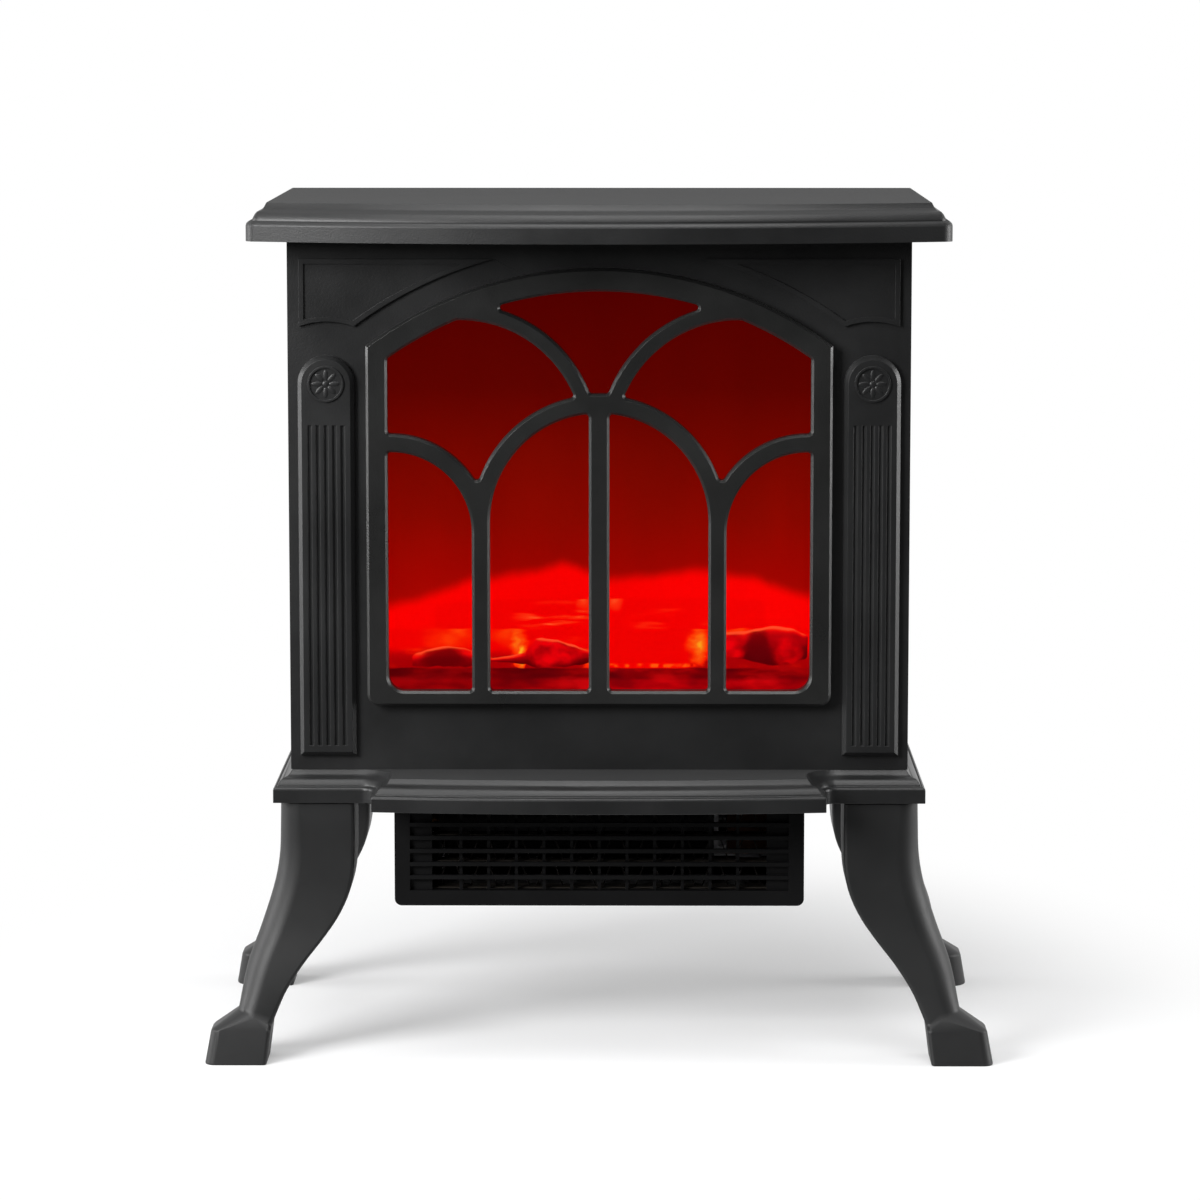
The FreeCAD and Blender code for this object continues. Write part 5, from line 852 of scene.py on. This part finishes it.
# ---- flame spindle ----
# A steel rod with bright vanes turns behind the screen, between a bracket with a plain bearing and
# a small synchronous motor on the other bracket.
for node in ("spindle_shaft", "spindle_vanes", "spindle_bracket_left", "spindle_bracket_right",
             "spindle_motor"):
    dressed(node, bare_steel)

# ---- heater box ----
# A folded steel box, open in front and painted matt black, is screwed up under the hearth. A black
# slatted outlet closes its front.
# The box and its outlet are given a black darker than their own, as painted shade under the hearth.
heater_black = moulded("heater_black", (0.0018, 0.0018, 0.002), 0.6, specular=0.06)
finished("heater_housing", heater_black, "heater_black", ease=0.0004)
grille_black = moulded("grille_black", (0.0042, 0.0042, 0.0045), 0.5, specular=0.16)
finished("outlet_grille", grille_black, "heater_black", ease=0.0003)

# ---- heating element ----
# Three folded ribbons of resistance wire are strung between mica shelves, whose cheeks stand on the
# floor of the box. A button cut-out sits on the top shelf.
# The mica and the oxide-dark ribbon are both made darker than they are, as painted shade inside the
# heater box.
mica = moulded("mica", (0.025, 0.021, 0.017), 0.6, specular=0.15)
dressed("mica_frame", mica)
ribbon = moulded("ribbon", (0.03, 0.027, 0.025), 0.6, metallic=1.0)
dressed("heating_wire", ribbon)
dressed("thermal_cutout", bare_steel)

# ---- fan ----
# A cross-flow rotor on a steel shaft in a folded cradle, with a bronze bush at one end and a
# shaded-pole motor at the other.
fan_steel = moulded("fan_steel", (0.03, 0.03, 0.032), 0.45, metallic=0.6)
dressed("fan_cradle", fan_steel)
dressed("fan_rotor", fan_steel)
dressed("fan_shaft", bare_steel)
bush_bronze = moulded("bush_bronze", (0.32, 0.16, 0.06), 0.4, metallic=1.0)
dressed("fan_bush", bush_bronze)
lamination = moulded("lamination", (0.10, 0.10, 0.11), 0.5, metallic=0.8, grain_scale=160.0,
                     stretch=(14.0, 1.0, 1.0))
dressed("motor_stator", lamination)
dressed("motor_rotor", lamination)
dressed("motor_frame", bare_steel)
# The winding is darker than its own copper enamel, as painted shade inside the heater box.
winding = moulded("winding", (0.10, 0.03, 0.012), 0.45, grain_scale=1400.0, grain_depth=0.5,
                  stretch=(1.0, 1.0, 6.0))
dressed("motor_coil", winding)

# ---- steel case ----
# Folded sheet steel sides and back, powder coated black and screwed together, and a plain floor
# plate on the hearth. The back is pressed with hooded vents.
black_steel = moulded("black_steel", (0.0140, 0.0142, 0.0150), 0.48, grain_scale=1500.0,
                      grain_depth=0.16)
for node in ("side_panel_right", "side_panel_left", "back_panel"):
    finished(node, black_steel, "black_steel", ease=0.0003)
dressed("floor_plate", bare_steel)

# ---- screws ----
# Blackened steel screws. Those through the back panel have low heads with a drive socket. Hexagon
# heads inside the case hold the legs and the heater box.
SOCKET_RIM = 0.0021
SOCKET_DEEP = 0.0012
HEAD_TOLERANCE = 0.0001
black_screw = moulded("black_screw", (0.02, 0.02, 0.021), 0.35, specular=0.5, metallic=0.5)
form = merged_form("back_panel_screws")
outermost = max(vert.co.y for vert in form.verts) - HEAD_TOLERANCE
heads = [face for face in form.faces if min(vert.co.y for vert in face.verts) > outermost]
bmesh.ops.inset_individual(form, faces=heads, thickness=SOCKET_RIM)
floors = bmesh.ops.extrude_discrete_faces(form, faces=heads)["faces"]
bmesh.ops.translate(form, vec=(0.0, -SOCKET_DEEP, 0.0),
                    verts=[vert for face in floors for vert in face.verts])
socketed = new_piece("back_panel_screws_socketed", form)
smooth_faces(socketed, 25.0)
fit_piece(socketed, black_screw, "black_screw", "casing", "back_panel_screws")
dressed("leg_screws", black_screw)
dressed("heater_screws", black_screw)

# ---- switches ----
# A moulded plate carries three red rocker switches that snap into it. Each has a printed bar on the
# half that is pressed for on and a printed ring on the half that is pressed for off.
PRINT = 0.00012
MARK_REACH = 0.0012
BAR_WIDTH = 0.0005
RING_WIDTH = 0.0004
control_black = moulded("control_black", (0.016, 0.016, 0.017), 0.42)
finished("control_plate", control_black, "control_black", ease=0.0003)
rocker_red = moulded("rocker_red", (0.38, 0.012, 0.008), 0.3, specular=0.5, mottle=0.08)
white_print = moulded("white_print", (0.62, 0.62, 0.60), 0.5, mottle=0.04)


def printed(name, form, slot, body):
    """A thin white print as a piece."""
    bmesh.ops.recalc_face_normals(form, faces=form.faces)
    fit_piece(new_piece(name, form), white_print, slot, body)


def face_frames(node):
    """The middle and the slope of the two broad outer faces of a rocker, upper first."""
    form = merged_form(node)
    outer = [face for face in form.faces if face.normal.y > 0.9]
    broad = sorted(outer, key=lambda face: -face.calc_area())[:2]
    broad.sort(key=lambda face: -face.calc_center_median().z)
    frames = []
    for face in broad:
        slope = face.normal.to_track_quat("Z", "Y").to_matrix().to_4x4()
        frames.append(Matrix.Translation(face.calc_center_median()) @ slope)
    form.free()
    return frames


for name in ("flame_switch", "low_heat_switch", "high_heat_switch"):
    finished(name + "_housing", control_black, "control_black", ease=0.0003)
    finished(name, rocker_red, "rocker_red", ease=0.0003)
    upper_half, lower_half = face_frames(name)
    rides_on = frame["nodes"][name]["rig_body"]
    form = bmesh.new()
    bar_size = Matrix.Diagonal((BAR_WIDTH, 2.0 * MARK_REACH, 2.0 * PRINT, 1.0))
    bmesh.ops.create_cube(form, size=1.0, matrix=upper_half @ bar_size)
    printed(name + "_bar", form, "rocker_red", rides_on)
    form = bmesh.new()
    bmesh.ops.create_circle(form, cap_ends=True, segments=24, radius=MARK_REACH, matrix=lower_half)
    bmesh.ops.inset_individual(form, faces=form.faces[:], thickness=RING_WIDTH)
    inner = [face for face in form.faces if len(face.verts) > 4]
    bmesh.ops.delete(form, geom=inner, context="FACES")
    raised = bmesh.ops.extrude_face_region(form, geom=form.faces[:], use_keep_orig=True)["geom"]
    bmesh.ops.translate(form, vec=lower_half.to_3x3() @ Vector((0.0, 0.0, PRINT)),
                        verts=[item for item in raised if isinstance(item, bmesh.types.BMVert)])
    printed(name + "_ring", form, "rocker_red", rides_on)

# ---- thermostat ----
# A moulded body behind the plate and a steel shaft, with a black knob pressed on it. The knob has
# finger grips and a white pointer, and turns over a printed scale of ticks.
TICKS = 6
TICK_SWEEP = math.radians(270.0)
TICK_INNER = 0.0170
TICK_LENGTH = 0.0022
TICK_WIDTH = 0.0006
TICK_GROWTH = 0.12
POINTER_WIDTH = 0.0008
POINTER_LENGTH = 0.0095
POINTER_MIDDLE = 0.0065
white_moulding = moulded("white_moulding", (0.62, 0.61, 0.58), 0.4, mottle=0.06)
dressed("thermostat_body", white_moulding)
dressed("thermostat_shaft", bare_steel)
knob_black = moulded("knob_black", (0.014, 0.014, 0.015), 0.38)
finished("thermostat_knob", knob_black, "knob_black", ease=0.0003)
knob_low, knob_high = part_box("thermostat_knob")
knob_middle = (knob_low + knob_high) / 2.0
plate_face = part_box("control_plate")[1].y
form = bmesh.new()
pointer_place = Matrix.Translation((knob_middle.x, knob_high.y, knob_middle.z + POINTER_MIDDLE))
pointer_size = Matrix.Diagonal((POINTER_WIDTH, 2.0 * PRINT, POINTER_LENGTH, 1.0))
bmesh.ops.create_cube(form, size=1.0, matrix=pointer_place @ pointer_size)
printed("knob_pointer_line", form, "knob_black", "thermostat")
form = bmesh.new()
scale_middle = Matrix.Translation((knob_middle.x, plate_face, knob_middle.z))
for tick in range(TICKS):
    turn = Matrix.Rotation(TICK_SWEEP * tick / (TICKS - 1.0), 4, "Y")
    length = TICK_LENGTH * (1.0 + TICK_GROWTH * tick)
    tick_place = Matrix.Translation((0.0, 0.0, TICK_INNER + length / 2.0))
    tick_size = Matrix.Diagonal((TICK_WIDTH, 2.0 * PRINT, length, 1.0))
    bmesh.ops.create_cube(form, size=1.0, matrix=scale_middle @ turn @ (tick_place @ tick_size))
printed("thermostat_scale", form, "control_black", "casing")

# ---- cord inlet ----
# A soft rubber gland with a bore for the cord, pushed through a hole low in the back panel, on
# the right as seen from the front. Its flange stops it on the outside.
gland_rubber = moulded("gland_rubber", (0.012, 0.012, 0.012), 0.65, specular=0.25)
finished("cable_gland", gland_rubber, "gland_rubber", ease=0.0004)
